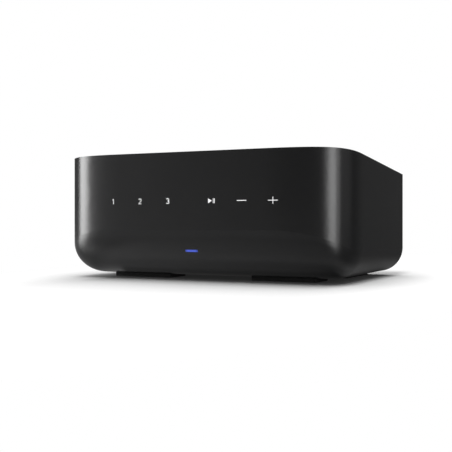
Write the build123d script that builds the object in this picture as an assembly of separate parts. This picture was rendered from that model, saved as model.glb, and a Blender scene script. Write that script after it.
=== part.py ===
from build123d import *
import os
from math import radians, sqrt, tan

# Multiroom amplifier: a moulded tub with a rounded front and floor, an inset sloping cover, and a
# connector panel across the open back. Six touch keys and a status bar work through the front wall.
# Millimetres. X runs to the right seen from the front, Y from front to back, Z up.
# The origin is on the surface the feet stand on, in the middle of the overall width and depth.

# Housing
housing_width = 200.0
housing_depth = 124.0
front_height = 77.7
top_slope_deg = 4.85
front_bottom_radius = 29.4
side_bottom_radius = 16.6
corner_run_x = 47.4
corner_run_y = 32.2
corner_pull = 0.80
wall = 2.6

# Cover
cover_thickness = 2.2
cover_rim = 1.3
cover_gap = 0.3

# Feet
foot_height = 2.6
foot_sink = 0.6
foot_long = 43.6
foot_short = 21.0
foot_round = 1.2
front_foot_inset = 48.9
front_foot_setback = 26.9
rear_foot_inset = 33.4
rear_foot_end_gap = 6.0
foot_gap = 0.15

# Rear panel and what sticks out of it
panel_thickness = 2.0
panel_recess = 1.5
panel_gap = 0.25
panel_stop = 2.4
panel_screw_inset = 8.0
panel_screw_low_z = 21.0
panel_screw_high_drop = 11.6
panel_boss_size = 10.0
panel_boss_depth = 12.0
vent_slot_width = 2.4
vent_slot_height = 12.0
vent_pitch = 5.0
vent_drop = 13.6
floor_vent_count = 9
floor_vent_length = 30.5

# Screws
screw_radius = 1.45
screw_hole_radius = 1.5
screw_head_radius = 2.8
screw_head_height = 2.0
screw_head_chamfer = 0.7
screw_length = 8.0
screw_cross_length = 3.2
screw_cross_width = 0.8
screw_cross_depth = 1.0
boss_radius = 3.2
boss_in_wall = 0.5
pillar_radius = 4.0
pillar_joint_z = 40.0
pillar_clearance = 0.5
pillar_web = 4.0
cover_boss_radius = 3.6
cover_screw_grip = 12.0
cover_screw_tip_gap = 2.0
pillar_on_foot = 10.9
front_pillar_depth = 38.0
rear_pillar_from_back = 38.0

# Boards, between the front stack and the rear panel
board_thickness = 1.6
standoff_height = 6.4
board_front_depth = 34.0
board_screw_edge = 5.5
board_side_gap = 7.4
board_split = 5.0
main_board_back_gap = 2.5
main_board_socket_margin = 2.0
main_screw_left_edge = 6.0
main_screw_right_edge = 4.0
main_screw_left_from_back = 23.0
main_screw_right_from_back = 13.5
power_board_side_gap = 9.4
power_board_back_gap = 25.5
power_screw_left_edge = 4.5
power_screw_right_edge = 6.0
power_screw_back_edge = 6.0

# Front keys and status bar
key_pitch = 20.3
key_middle_gap = 30.9
key_height = 47.3
status_bar_height = 16.4
status_bar_width = 8.8
status_bar_thick = 1.3
status_bar_gap = 0.05
status_led_gap = 0.285
touch_film_thickness = 0.3
light_frame_depth = 5.7
light_frame_height = 22.0
light_tunnel = 12.0
touch_board_thickness = 1.2
touch_tongue_width = 22.0
touch_tongue_drop = 6.4
touch_screw_gap = 16.0
touch_screw_tip_gap = 0.5
light_frame_end = 11.0
led_size = (3.0, 0.8, 2.0)

# Speaker terminals
terminal_z = 35.5
terminal_pitch = 19.0
terminal_plate_size = 36.0
terminal_plate_thickness = 2.5
terminal_collar_radius = 6.6
terminal_collar_height = 2.0
terminal_sleeve_radius = 4.2
stud_radius = 3.2
stud_gap = 0.05
stud_reach = 13.4
stud_tail = 9.0
banana_radius = 2.05
banana_depth = 12.0
wire_hole_radius = 1.5
wire_hole_offset = 2.3
lug_thickness = 0.8
ring_thickness = 1.6
ring_radius = 5.0
cap_radius = 6.0
cap_nose_radius = 5.2
cap_length = 15.0
cap_collar_length = 3.0
cap_end_wall = 2.0
cap_end_radius = 2.4
cap_flutes = 12
cap_flute_radius = 0.8
nut_across_flats = 10.0
nut_thickness = 3.0

# Phono sockets
phono_pitch_x = 13.0
phono_pitch_z = 14.0
phono_radius = 4.15
phono_shank_radius = 3.95
phono_shoulder = 0.3
phono_wall = 0.5
phono_reach = 8.6
phono_pin_radius = 1.65
phono_block_depth = 10.0
phono_block_side = 6.5
phono_washer_radius = 5.6
phono_washer_thickness = 1.0
phono_lip = 3.0
phono_core_setback = 1.0

# Ethernet, USB, optical and 3.5 mm sockets, all on the main board
ethernet_size = (16.0, 21.0, 13.4)
ethernet_mouth = (11.8, 8.0)
ethernet_mouth_depth = 14.0
ethernet_latch = (6.2, 1.8)
ethernet_contacts_count = 8
ethernet_contact_pitch = 1.02
ethernet_contact_width = 0.4
ethernet_contact_thickness = 0.4
ethernet_contact_drop = 2.0
ethernet_contact_tip = 0.45
usb_size = (14.6, 14.0, 6.8)
usb_mouth = (13.2, 5.4)
usb_tongue_thickness = 1.9
usb_tongue_side_gap = 1.0
usb_tongue_setback = 2.0
usb_back_wall = 2.0
shield_wall = 0.35
aux_size = (8.0, 13.0, 7.0)
aux_nose_radius = 3.4
aux_bore_radius = 1.8
aux_bore_depth = 14.0
setup_head_radius = 2.2
setup_stem_radius = 1.5
setup_travel = 0.6
setup_proud = 1.0
setup_plug_in = 3.0
setup_bottom_gap = 0.3
setup_head_room = 1.0
setup_head_round = 0.5
setup_switch_size = (6.4, 5.0, 6.4)
optical_size = (13.0, 14.0, 11.6)
optical_mouth = 9.4
optical_hole_margin = 1.0
optical_depth = 12.4
optical_flange_wall = 0.8
optical_recess = 2.0
shutter_thickness = 0.8
shutter_pin_radius = 0.6
shutter_gap = 0.2
shutter_setback = 2.8
shutter_pin_in = 0.6
shutter_pin_end_gap = 0.05
running_gap = 0.05
socket_proud = 0.4

# Mains inlet and switch
inlet_flange = (29.0, 22.0)
inlet_flange_thickness = 1.6
inlet_body = (26.6, 19.4)
inlet_cavity = (23.6, 16.2)
inlet_depth = 19.0
inlet_cavity_depth = 16.4
inlet_corner = 5.0
inlet_pin = (2.0, 4.0)
inlet_pin_spread = 7.0
inlet_pin_drop = 1.5
inlet_earth_rise = 2.5
inlet_pin_setback = 1.6
inlet_tab = 7.0
inlet_pin_chamfer = 0.5
switch_tab = (5.0, 0.8)
switch_tab_spread = 6.0
switch_flange = (16.6, 23.8)
switch_flange_thickness = 1.6
switch_body = (15.0, 21.0)
switch_window = (12.0, 18.8)
switch_depth = 15.0
switch_cavity_depth = 12.0
rocker_round = 9.2
rocker_side_gap = 0.2
rocker_tilt_deg = 10.0
rocker_hub = 3.2
rocker_back = 3.0
rocker_pin_radius = 1.0
rocker_pin_length = 1.3
cutout_gap = 0.2

# Inside parts
sink_from_edge = 30.0
sink_size = (38.0, 30.0, 24.0)
sink_base = 4.0
sink_fins = 9
sink_fin_thickness = 1.3
chip_size = (14.0, 14.0, 1.4)
inductor_size = (9.6, 9.6, 8.4)
inductor_count = 4
inductor_pitch = 12.0
inductor_chamfer = 1.5
rail_cap_radius = 6.2
rail_cap_height = 20.0
rail_cap_depth = 42.0
rail_cap_count = 3
cap_chamfer = 0.6
bulk_cap_radius = 9.0
bulk_cap_height = 32.0
bulk_cap_screw_zone = 7.0
radio_from_edge = 20.0
radio_size = (30.0, 24.0, 1.0)
radio_can = (23.0, 18.0, 2.8)
processor_depth = 86.0
antenna_size = (0.8, 34.0, 9.0)
antenna_depth = 62.0
antenna_z = 44.0
transformer_core = (30.0, 16.0, 27.0)
transformer_limb = 6.0
transformer_lift = 1.0
coil_overhang = 5.0
coil_round = 2.0
coil_foot = 4.0
plate_sink_from_side = 16.0
plate_sink_end_gap = 7.0
plate_sink_height = 30.0
plate_sink_thickness = 2.4
plate_sink_fin = 7.0
plate_sink_fins = 5
plate_sink_fin_thickness = 1.4
plate_sink_fin_low = 6.0
choke_from_caps = 5.0
choke_radius = 6.5
choke_wire_radius = 2.6
lead_radius = 0.9
lead_bend_share = 0.45
mains_lead_run = 3.0
mains_lead_drop = 6.0
mains_lead_pitch = 5.5
mains_lead_edge = 4.0
speaker_lead_pitch = 4.4
speaker_lead_from_edge = 11.5
speaker_lead_socket_gap = 4.0
speaker_lead_run = 5.0
speaker_lead_rise = 2.0
lug_neck = 2.4
lug_tail = 3.0
lug_end = 0.3
flex_width = 12.0
flex_thickness = 0.3
flex_bend = 3.0
flex_plug = (15.0, 4.0, 3.0)
flex_plug_edge = 3.0
flex_run = 8.0
flex_rise = 4.0
flex_slack = 12.0
link_depth = 60.0
link_width = 6.0
link_height = 9.0
link_inset = 4.0
link_thickness = 1.2
seat_gap = 0.02



def spread(low, high, widths):
    """The centres of parts of these widths, set between two ends with equal gaps."""
    gap = (high - low - sum(widths)) / (len(widths) + 1)
    centres = []
    for width in widths:
        low += gap + width
        centres.append(low - width / 2)
    return centres


# Places worked out from the sizes above. Depth is the distance behind the front plane.
half_width = housing_width / 2
base_z = foot_height
panel_back_offset = housing_depth - panel_recess
terminal_face_offset = panel_back_offset + terminal_plate_thickness + terminal_collar_height
overall_depth = terminal_face_offset + ring_thickness + cap_length
front_y = -overall_depth / 2
rear_y = front_y + housing_depth
panel_y = front_y + panel_back_offset
panel_inner_y = panel_y - panel_thickness
floor_z = base_z + wall
board_z = floor_z + standoff_height
board_top = board_z + board_thickness
top_z = base_z + front_height
slope = tan(radians(top_slope_deg))
key_z = base_z + key_height
status_z = base_z + status_bar_height
film_y = front_y + wall
frame_y = film_y + touch_film_thickness
touch_y = frame_y + light_frame_depth
key_xs = [
    side * (key_middle_gap / 2 + step * key_pitch) for side in (-1, 1) for step in (0, 1, 2)
]
touch_screw_x = key_xs[-1] + touch_screw_gap
light_frame_width = 2 * (key_xs[-1] + light_frame_end)
terminal_face_y = front_y + terminal_face_offset
ring_top_y = terminal_face_y + ring_thickness
phono_low_z = board_top + phono_block_side + phono_washer_radius - phono_radius
phono_block_width = phono_pitch_x + 2 * phono_block_side
panel_inner_depth = panel_back_offset - panel_thickness

# The row of sockets between the rear panel's screws, from the left seen from the front
panel_screw_x = half_width - panel_screw_inset
row_end = panel_screw_x - panel_boss_size / 2
row_widths = [
    ethernet_size[0],
    usb_size[0],
    aux_size[0],
    setup_switch_size[0],
    optical_size[0],
    phono_block_width,
    terminal_plate_size,
    inlet_flange[0],
]
ethernet_x, usb_x, aux_x, setup_x, optical_x, phono_x, terminal_x, mains_x = spread(
    -row_end, row_end, row_widths
)
cover_low_z = top_z - slope * housing_depth - cover_thickness
panel_screw_high_z = cover_low_z - panel_screw_high_drop
vent_z = cover_low_z - vent_drop
vent_ends = (-row_end, phono_x - phono_block_width / 2)
vent_count = int((vent_ends[1] - vent_ends[0]) // vent_pitch)
inlet_z, switch_z = spread(board_top, cover_low_z, [inlet_flange[1], switch_flange[1]])

# Feet, and the pillars over them
front_foot_x = half_width - front_foot_inset
rear_foot_x = half_width - rear_foot_inset
front_pillar = (front_foot_x + pillar_on_foot, front_pillar_depth)
rear_pillar = (rear_foot_x, housing_depth - rear_pillar_from_back)
pillars = [front_pillar, rear_pillar]
pillar_keep_out = pillar_radius + pillar_clearance

# Boards and their screws
main_board_x = (
    wall + board_side_gap - half_width,
    phono_x + phono_block_width / 2 + main_board_socket_margin,
)
main_board_depth = (board_front_depth, panel_inner_depth - main_board_back_gap)
power_board_x = (
    main_board_x[1] + board_split,
    half_width - wall - power_board_side_gap,
)
power_board_depth = (board_front_depth, panel_inner_depth - power_board_back_gap)
front_screw_depth = board_front_depth + board_screw_edge
main_left_x = main_board_x[0] + main_screw_left_edge
main_right_x = main_board_x[1] - main_screw_right_edge
main_board_screws = [
    (main_left_x, front_screw_depth),
    (main_right_x, front_screw_depth),
    (main_left_x, main_board_depth[1] - main_screw_left_from_back),
    (main_right_x, main_board_depth[1] - main_screw_right_from_back),
]
power_left_x = power_board_x[0] + power_screw_left_edge
power_right_x = power_board_x[1] - power_screw_right_edge
rear_screw_depth = power_board_depth[1] - power_screw_back_edge
power_board_screws = [
    (x, depth) for x in (power_left_x, power_right_x) for depth in (front_screw_depth, rear_screw_depth)
]

# Parts on the boards
lead_end_depth = panel_inner_depth - phono_block_depth - speaker_lead_socket_gap
sink_x = main_board_x[1] - sink_from_edge
sink_depth, inductor_depth = spread(
    rail_cap_depth + rail_cap_radius, lead_end_depth - lead_radius, [sink_size[1], inductor_size[1]]
)
rail_cap_xs = spread(
    pillar_keep_out - front_pillar[0], -flex_plug[0] / 2, [2 * rail_cap_radius] * rail_cap_count
)
radio_x = main_board_x[0] + radio_from_edge
radio_depth = (front_pillar[1] + rear_pillar[1]) / 2
(processor_x,) = spread(
    pillar_keep_out - rear_pillar[0], sink_x - sink_size[0] / 2, [chip_size[0]]
)
plate_sink_x = half_width - plate_sink_from_side
plate_sink_depth = (
    front_screw_depth + plate_sink_end_gap,
    rear_screw_depth - plate_sink_end_gap,
)
bulk_cap_x, transformer_x = spread(
    power_board_x[0] + bulk_cap_screw_zone,
    plate_sink_x - plate_sink_thickness / 2,
    [2 * bulk_cap_radius, transformer_core[0]],
)
transformer_depth = radio_depth
*bulk_cap_depths, choke_depth = spread(
    *power_board_depth, [2 * bulk_cap_radius, 2 * bulk_cap_radius, 2 * choke_wire_radius]
)
choke_x = bulk_cap_x + choke_from_caps


def box_between(x, y, z):
    """A box between two values on each axis."""
    size = [b - a for a, b in (x, y, z)]
    centre = [(a + b) / 2 for a, b in (x, y, z)]
    return Pos(*centre) * Box(*size)


def rod_y(x, z, y0, y1, radius):
    """A round bar along Y."""
    return Pos(x, (y0 + y1) / 2, z) * Rot(90, 0, 0) * Cylinder(radius, y1 - y0)


def rod_z(x, y, z0, z1, radius):
    """A round bar along Z."""
    return Pos(x, y, (z0 + z1) / 2) * Cylinder(radius, z1 - z0)


def centred(width, middle=0.0):
    """The two ends of a width about its middle."""
    return (middle - width / 2, middle + width / 2)


def joined(pieces):
    """All the pieces as one body."""
    return Part() + list(pieces)


def group(pieces):
    """Separate solids kept in one node."""
    return Compound(children=[s for p in pieces for s in p.solids()])


def corner_points(inset, draw, lift, side):
    """Four control points that carry the front line round to the side line. Draw is how far the
    lower rounding has drawn them in, lift how far it has raised them, both from 0 to 1."""
    side_round = side_bottom_radius - inset
    front_round = front_bottom_radius - inset
    x_corner = housing_width / 2 - corner_run_x
    y_corner = front_y + corner_run_y
    x_side = housing_width / 2 - inset - draw * side_round
    y_front = front_y + inset + draw * front_round
    z_front = base_z + inset + lift * front_round
    z_side = base_z + inset + lift * side_round
    x_pull = x_corner + corner_pull * (x_side - x_corner)
    y_pull = y_corner - corner_pull * (y_corner - y_front)
    return [
        (side * x_corner, y_front, z_front),
        (side * x_pull, y_front, z_front),
        (side * x_side, y_pull, z_side),
        (side * x_side, y_corner, z_side),
    ]


def at_height(points, z):
    """The same points at one height."""
    return [(x, y, z) for x, y, _ in points]


def at_depth(point, y):
    """The same point at another Y."""
    return (point[0], y, point[2])


def outline_face(left, right, back_y):
    """A flat level face between two rounded corners and a straight back."""
    near_left, near_right = at_depth(left[3], back_y), at_depth(right[3], back_y)
    return Face(
        Wire(
            [
                Line(left[0], right[0]),
                Bezier(*right),
                Line(right[3], near_right),
                Line(near_right, near_left),
                Line(near_left, left[3]),
                Bezier(*left),
            ]
        )
    )


def plan(inset, back_y):
    """The housing's outline above its rounded edges, at Z 0, drawn in evenly by inset."""
    corners = [at_height(corner_points(inset, 0, 1, side), 0) for side in (-1, 1)]
    return outline_face(*corners, back_y)


def skin(inset, back_y):
    """The housing's solid form, drawn in evenly by inset, with its rounded front and floor edges."""
    quarter = sqrt(0.5)
    row_weights = [[1.0] * 4, [quarter] * 4, [1.0] * 4]
    nets = {}
    faces = []
    for side in (-1, 1):
        low, turn, high = net = [
            corner_points(inset, draw, lift, side) for draw, lift in ((1, 0), (0, 0), (0, 1))
        ]
        nets[side] = net
        faces.append(Face.make_bezier_surface(net, row_weights))
        faces.append(Face.make_bezier_surface([high, at_height(high, top_z)]))
        end = at_depth(high[3], back_y)
        faces.append(
            Face(Wire.make_polygon([high[3], end, *at_height([end, high[3]], top_z)], close=True))
        )
        arc = Bezier(low[3], turn[3], high[3], weights=[1.0, quarter, 1.0])
        faces.append(Face.extrude(arc, (0, back_y - low[3][1], 0)))
    left, right = nets[-1], nets[1]
    arc = Bezier(left[0][0], left[1][0], left[2][0], weights=[1.0, quarter, 1.0])
    faces.append(Face.extrude(arc, (2 * right[0][0][0], 0, 0)))
    faces.append(
        Face(
            Wire.make_polygon(
                [left[2][0], right[2][0], *at_height([right[2][0], left[2][0]], top_z)], close=True
            )
        )
    )
    faces.append(outline_face(left[0], right[0], back_y))
    faces.append(outline_face(at_height(left[2], top_z), at_height(right[2], top_z), back_y))
    ends = {side: [at_depth(row[3], back_y) for row in nets[side]] for side in (-1, 1)}
    tops = {side: at_height([ends[side][2]], top_z)[0] for side in (-1, 1)}
    faces.append(
        Face(
            Wire(
                [
                    Line(ends[-1][0], ends[1][0]),
                    Bezier(*ends[1], weights=[1.0, quarter, 1.0]),
                    Line(ends[1][2], tops[1]),
                    Line(tops[1], tops[-1]),
                    Line(tops[-1], ends[-1][2]),
                    Bezier(*ends[-1], weights=[1.0, quarter, 1.0]),
                ]
            )
        )
    )
    return Solid(Shell(faces))


def below_top(drop):
    """Everything lower than the sloping top face by drop."""
    margin = housing_width
    y0, y1 = front_y - margin, rear_y + margin
    z0, z1 = top_z - drop + slope * margin, top_z - drop - slope * (y1 - front_y)
    side = Polygon((y0, -margin), (y1, -margin), (y1, z1), (y0, z0), align=None)
    return extrude(Plane.YZ * side, housing_width, both=True)


def mirrored(places):
    """Places on the right and their mirror images on the left."""
    return [(s * x, d) for x, d in places for s in (1, -1)]


def screw(length=screw_length, radius=screw_radius):
    """A pan-head screw along +Z, its head's bearing face at the origin and its shank below."""
    head = Pos(0, 0, screw_head_height / 2) * Cylinder(screw_head_radius, screw_head_height)
    head = chamfer(head.edges().group_by(Axis.Z)[-1], screw_head_chamfer)
    shank = Pos(0, 0, -length / 2) * Cylinder(radius, length)
    slot_z = screw_head_height - screw_cross_depth / 2
    bar = Box(screw_cross_length, screw_cross_width, screw_cross_depth)
    return head + shank - Pos(0, 0, slot_z) * bar - Pos(0, 0, slot_z) * Rot(0, 0, 90) * bar


def foot_plans(gap=0.0):
    """The plan of each foot as (x range, y range), let out by gap: wide ones in front, long ones
    behind."""
    front_middle = front_y + front_foot_setback + foot_short / 2
    rear_middle = rear_y - rear_foot_end_gap - foot_long / 2
    long_side, short_side = foot_long + 2 * gap, foot_short + 2 * gap
    plans = []
    for side in (-1, 1):
        plans.append((centred(long_side, side * front_foot_x), centred(short_side, front_middle)))
        plans.append((centred(short_side, side * rear_foot_x), centred(long_side, rear_middle)))
    return plans


def make_feet():
    """Four rubber pads, let into the floor."""
    pads = [box_between(x, y, (0, base_z + foot_sink)) for x, y in foot_plans()]
    return {"feet": group([fillet(pad.edges().filter_by(Axis.Z), foot_round) for pad in pads])}


def rear_boss_places():
    """Where the rear panel's screws go, as (x, z)."""
    return [(s * panel_screw_x, z) for s in (-1, 1) for z in (panel_screw_low_z, panel_screw_high_z)]


def make_housing():
    """The moulded tub: front, sides and floor in one, with its pillars, standoffs and panel stop."""
    inside = skin(wall, rear_y + wall)
    outside = skin(0, rear_y)
    tub = outside - inside
    fill = []
    for x, depth in mirrored(pillars):
        fill.append(rod_z(x, front_y + depth, floor_z - wall / 2, pillar_joint_z, pillar_radius))
    for x, depth in main_board_screws + power_board_screws:
        fill.append(rod_z(x, front_y + depth, floor_z - wall / 2, board_z, boss_radius))
    for x, z in rear_boss_places():
        reach = (abs(x) - panel_boss_size / 2, housing_width / 2 - wall / 2)
        fill.append(
            box_between(
                sorted(copy_sign(v, x) for v in reach),
                (panel_inner_y - panel_boss_depth, panel_inner_y),
                centred(panel_boss_size, z),
            )
        )
    for x in (-touch_screw_x, touch_screw_x):
        fill.append(rod_y(x, key_z, film_y - boss_in_wall, touch_y, boss_radius))
    stop = inside - skin(wall + panel_stop, rear_y + wall)
    fill.append(
        stop & box_between(centred(housing_width), (panel_inner_y - panel_stop, panel_inner_y), (0, top_z))
    )
    tub = joined([tub, *fill])
    cuts = []
    for x, depth in mirrored(pillars):
        y = front_y + depth
        cuts.append(rod_z(x, y, 0, pillar_joint_z, screw_hole_radius))
        cuts.append(rod_z(x, y, 0, pillar_web + base_z, screw_head_radius + foot_gap))
    for x, depth in main_board_screws + power_board_screws:
        cuts.append(rod_z(x, front_y + depth, board_z - screw_length, board_z, screw_hole_radius))
    for x, z in rear_boss_places():
        cuts.append(rod_y(x, z, panel_inner_y - screw_length, panel_inner_y, screw_hole_radius))
    for x in (-touch_screw_x, touch_screw_x):
        cuts.append(rod_y(x, key_z, film_y, touch_y, screw_hole_radius))
    for x, y in foot_plans(foot_gap):
        cuts.append(box_between(x, y, (0, base_z + foot_sink)))
    cuts.append(status_bar(status_bar_gap, front_y - wall))
    cuts += floor_vents()
    return (tub - joined(cuts) - cover_pocket()) & below_top(0)


def copy_sign(value, like):
    """value with the sign of like."""
    return value if like > 0 else -value


def cover_pocket():
    """The space over the cover's seat, which leaves the rim that the cover drops into."""
    return extrude(plan(cover_rim, rear_y + wall), top_z) - below_top(cover_thickness)


def floor_vents():
    """Air slots through the floor, under the amplifier's heat sink."""
    half = (floor_vent_count - 1) / 2
    return [
        box_between(
            centred(vent_slot_width, (i - half) * vent_pitch),
            centred(floor_vent_length, front_y + sink_depth),
            (0, floor_z + wall),
        )
        for i in range(floor_vent_count)
    ]


def status_bar(gap, y0):
    """The status bar's straight run through the front wall, let out by gap."""
    return box_between(
        centred(status_bar_width + 2 * gap),
        (y0, touch_y - led_size[1] - status_led_gap),
        centred(status_bar_thick + 2 * gap, status_z),
    )


def make_cover():
    """The sloping lid, with four bosses that its screws pull down on the pillars."""
    edge = cover_rim + cover_gap
    plate = extrude(plan(edge, rear_y), top_z) & (below_top(0) - below_top(cover_thickness))
    bosses = []
    holes = []
    for x, depth in mirrored(pillars):
        y = front_y + depth
        bosses.append(rod_z(x, y, pillar_joint_z, top_z, cover_boss_radius))
        top = pillar_joint_z + cover_screw_grip
        holes.append(rod_z(x, y, pillar_joint_z, top, screw_hole_radius))
    return plate + (joined(bosses) & below_top(cover_thickness / 2)) - joined(holes)


def make_rear_panel():
    """The connector panel, with every cut-out let out from the part that goes through it."""
    form = skin(wall + panel_gap, rear_y + wall) & below_top(cover_thickness + panel_gap)
    panel = form & box_between(centred(housing_width), (panel_inner_y, panel_y), (0, top_z))
    y = (panel_inner_y - wall, panel_y + wall)
    gap = cutout_gap
    holes = []
    for x, z in rear_boss_places():
        holes.append(rod_y(x, z, *y, screw_radius + gap))
    for x, z in terminal_places():
        holes.append(rod_y(x, z, *y, terminal_sleeve_radius + gap))
    for x, z in phono_places():
        holes.append(rod_y(x, z, *y, phono_shank_radius + gap))
    for x, size in ((ethernet_x, ethernet_size), (usb_x, usb_size)):
        holes.append(
            box_between(
                centred(size[0] + 2 * gap, x), y, (board_top - gap, board_top + size[2] + gap)
            )
        )
    holes.append(rod_y(aux_x, board_top + aux_size[2] / 2, *y, aux_nose_radius + gap))
    holes.append(rod_y(setup_x, board_top + setup_switch_size[2] / 2, *y, setup_head_radius + gap))
    optical_z = board_top + optical_size[2] / 2
    hole = optical_mouth + 2 * optical_hole_margin
    holes.append(box_between(centred(hole, optical_x), y, centred(hole, optical_z)))
    holes.append(
        box_between(
            centred(inlet_body[0] + 2 * gap, mains_x), y, centred(inlet_body[1] + 2 * gap, inlet_z)
        )
    )
    holes.append(
        box_between(
            centred(switch_body[0] + 2 * gap, mains_x), y, centred(switch_body[1] + 2 * gap, switch_z)
        )
    )
    slot = Rot(90, 0, 0) * extrude(
        SlotOverall(vent_slot_height, vent_slot_width, rotation=90), 2 * wall, both=True
    )
    middle = sum(vent_ends) / 2
    for i in range(vent_count):
        x = middle + (i - (vent_count - 1) / 2) * vent_pitch
        holes.append(Pos(x, panel_y, vent_z) * slot)
    return panel - joined(holes)


def terminal_places():
    """The four speaker terminals as (x, z): plus above minus, two channels side by side."""
    half = terminal_pitch / 2
    return [(terminal_x + sx * half, terminal_z + sz * half) for sx in (-1, 1) for sz in (1, -1)]


def make_terminals():
    """Speaker terminals: an insulating plate outside and inside, studs, rings, caps and nuts."""
    nodes = {}
    spread = centred(terminal_plate_size, terminal_x)
    height = centred(terminal_plate_size, terminal_z)
    outer = box_between(spread, (panel_y, panel_y + terminal_plate_thickness), height)
    outer = fillet(outer.edges().filter_by(Axis.Y), foot_round)
    inner_y = panel_inner_y - terminal_plate_thickness / 2
    inner = box_between(spread, (inner_y, panel_inner_y), height)
    for x, z in terminal_places():
        outer += rod_y(x, z, panel_y, terminal_face_y, terminal_collar_radius)
        outer += rod_y(x, z, panel_inner_y, panel_y, terminal_sleeve_radius)
    for x, z in terminal_places():
        hole = rod_y(x, z, inner_y, terminal_face_y, stud_radius + stud_gap)
        outer -= hole
        inner -= hole
    nodes["terminal_plate"] = outer
    nodes["terminal_inner_plate"] = inner
    studs, nuts = [], []
    for x, z in terminal_places():
        end = terminal_face_y + stud_reach
        stud = rod_y(x, z, panel_inner_y - stud_tail, end, stud_radius)
        stud -= rod_y(x, z, end - banana_depth, end, banana_radius)
        hole_y = terminal_face_y + wire_hole_offset
        stud -= Pos(x, hole_y, z) * Cylinder(wire_hole_radius, 3 * stud_radius)
        studs.append(stud)
        ring_hole = stud_radius + stud_gap
        nut = Rot(90, 0, 0) * extrude(
            RegularPolygon(nut_across_flats / 2, 6, major_radius=False) - Circle(ring_hole), nut_thickness
        )
        nuts.append(Pos(x, inner_y, z) * nut)
    nodes["terminal_studs"] = group(studs)
    nodes["terminal_nuts"] = group(nuts)
    for (x, z), name in zip(terminal_places(), terminal_names()):
        ring = rod_y(x, z, terminal_face_y, ring_top_y, ring_radius)
        ring -= rod_y(x, z, terminal_face_y, ring_top_y, stud_radius + stud_gap)
        nodes["ring_" + name] = ring
        nodes["cap_" + name] = Pos(x, ring_top_y, z) * terminal_cap()
    return nodes


def terminal_names():
    """Names in the order of terminal_places."""
    return ["left_plus", "left_minus", "right_plus", "right_minus"]


def terminal_cap():
    """A fluted screw cap along +Y, open at its end for a banana plug."""
    chamfer_size = cap_flute_radius
    profile = Polygon(
        (stud_radius + stud_gap, 0),
        (cap_nose_radius, 0),
        (cap_nose_radius, cap_collar_length),
        (cap_radius, cap_collar_length),
        (cap_radius, cap_length - chamfer_size),
        (cap_radius - chamfer_size, cap_length),
        (cap_end_radius, cap_length),
        (cap_end_radius, cap_length - cap_end_wall),
        (stud_radius + stud_gap, cap_length - cap_end_wall),
        align=None,
    )
    cap = revolve(profile, Axis.Y)
    groove = rod_y(cap_radius + cap_flute_radius / 3, 0, cap_collar_length, cap_length, cap_flute_radius)
    grooves = [Rot(0, i * 360 / cap_flutes, 0) * groove for i in range(cap_flutes)]
    return cap - joined(grooves)


def phono_places():
    """The four phono sockets as (x, z), left channel then right, each from below."""
    return [
        (phono_x + sx * phono_pitch_x / 2, phono_low_z + row * phono_pitch_z)
        for sx in (-1, 1)
        for row in (0, 1)
    ]


def make_phono():
    """A block of four phono sockets: housing, metal sleeves, and coloured inserts."""
    back = panel_inner_y - phono_block_depth
    top = phono_low_z + phono_pitch_z + phono_block_side
    block = box_between(
        centred(phono_block_width, phono_x), (back, panel_inner_y), (board_top, top)
    )
    sleeves, left, right = [], [], []
    end = panel_y + phono_reach
    sleeve_back = back + phono_lip
    washer_y = panel_y + phono_washer_thickness
    bore = phono_radius - phono_wall
    for x, z in phono_places():
        block -= rod_y(x, z, sleeve_back, panel_inner_y, phono_shank_radius + running_gap)
        sleeve = rod_y(x, z, sleeve_back, end, phono_shank_radius)
        sleeve += rod_y(x, z, washer_y + phono_shoulder, end, phono_radius)
        sleeves.append(sleeve - rod_y(x, z, sleeve_back, end, bore))
        core = rod_y(x, z, sleeve_back, end - phono_core_setback, bore - running_gap)
        core -= rod_y(x, z, panel_y, end, phono_pin_radius)
        washer = rod_y(x, z, panel_y, washer_y, phono_washer_radius)
        washer -= rod_y(x, z, panel_y, end, phono_shank_radius + running_gap)
        (left if x < phono_x else right).extend([core, washer])
    return {
        "phono_block": block,
        "phono_sleeves": group(sleeves),
        "phono_inserts_left": group(left),
        "phono_inserts_right": group(right),
    }


def make_ethernet():
    """A shielded network socket: tin-plated shield, moulded insert and eight spring contacts."""
    width, length, height = ethernet_size
    mouth_width, mouth_height = ethernet_mouth
    face = panel_y + socket_proud
    x = centred(width, ethernet_x)
    y = (face - length, face)
    z = (board_top, board_top + height)
    inner = [(a + shield_wall, b - shield_wall) for a, b in (x, y, z)]
    core_y = (inner[1][0], face)
    shield = box_between(x, y, z) - box_between(inner[0], core_y, inner[2])
    latch_width, latch_height = ethernet_latch
    mouth_low = board_top + (height - mouth_height) / 2
    insert = box_between(inner[0], core_y, inner[2])
    mouth_y = (face - ethernet_mouth_depth, face)
    mouth_z = (mouth_low, mouth_low + mouth_height)
    insert -= box_between(centred(mouth_width, ethernet_x), mouth_y, mouth_z)
    insert -= box_between(
        centred(latch_width, ethernet_x), mouth_y, (mouth_low - latch_height, mouth_low)
    )
    contacts = []
    half = (ethernet_contacts_count - 1) / 2
    root_y, tip_y = face - ethernet_mouth_depth + seat_gap, face - ethernet_mouth_depth / 3
    high = mouth_low + mouth_height
    for i in range(ethernet_contacts_count):
        wire = Polygon(
            (root_y, high - ethernet_contact_drop - ethernet_contact_thickness),
            (root_y, high - ethernet_contact_drop),
            (tip_y, high - seat_gap),
            (tip_y, high - ethernet_contact_tip),
            align=None,
        )
        place = ethernet_x + (i - half) * ethernet_contact_pitch
        half_wire = ethernet_contact_width / 2
        contacts.append(Pos(place, 0, 0) * extrude(Plane.YZ * wire, half_wire, both=True))
    return {
        "ethernet_shield": shield,
        "ethernet_insert": insert,
        "ethernet_contacts": group(contacts),
    }


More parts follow.
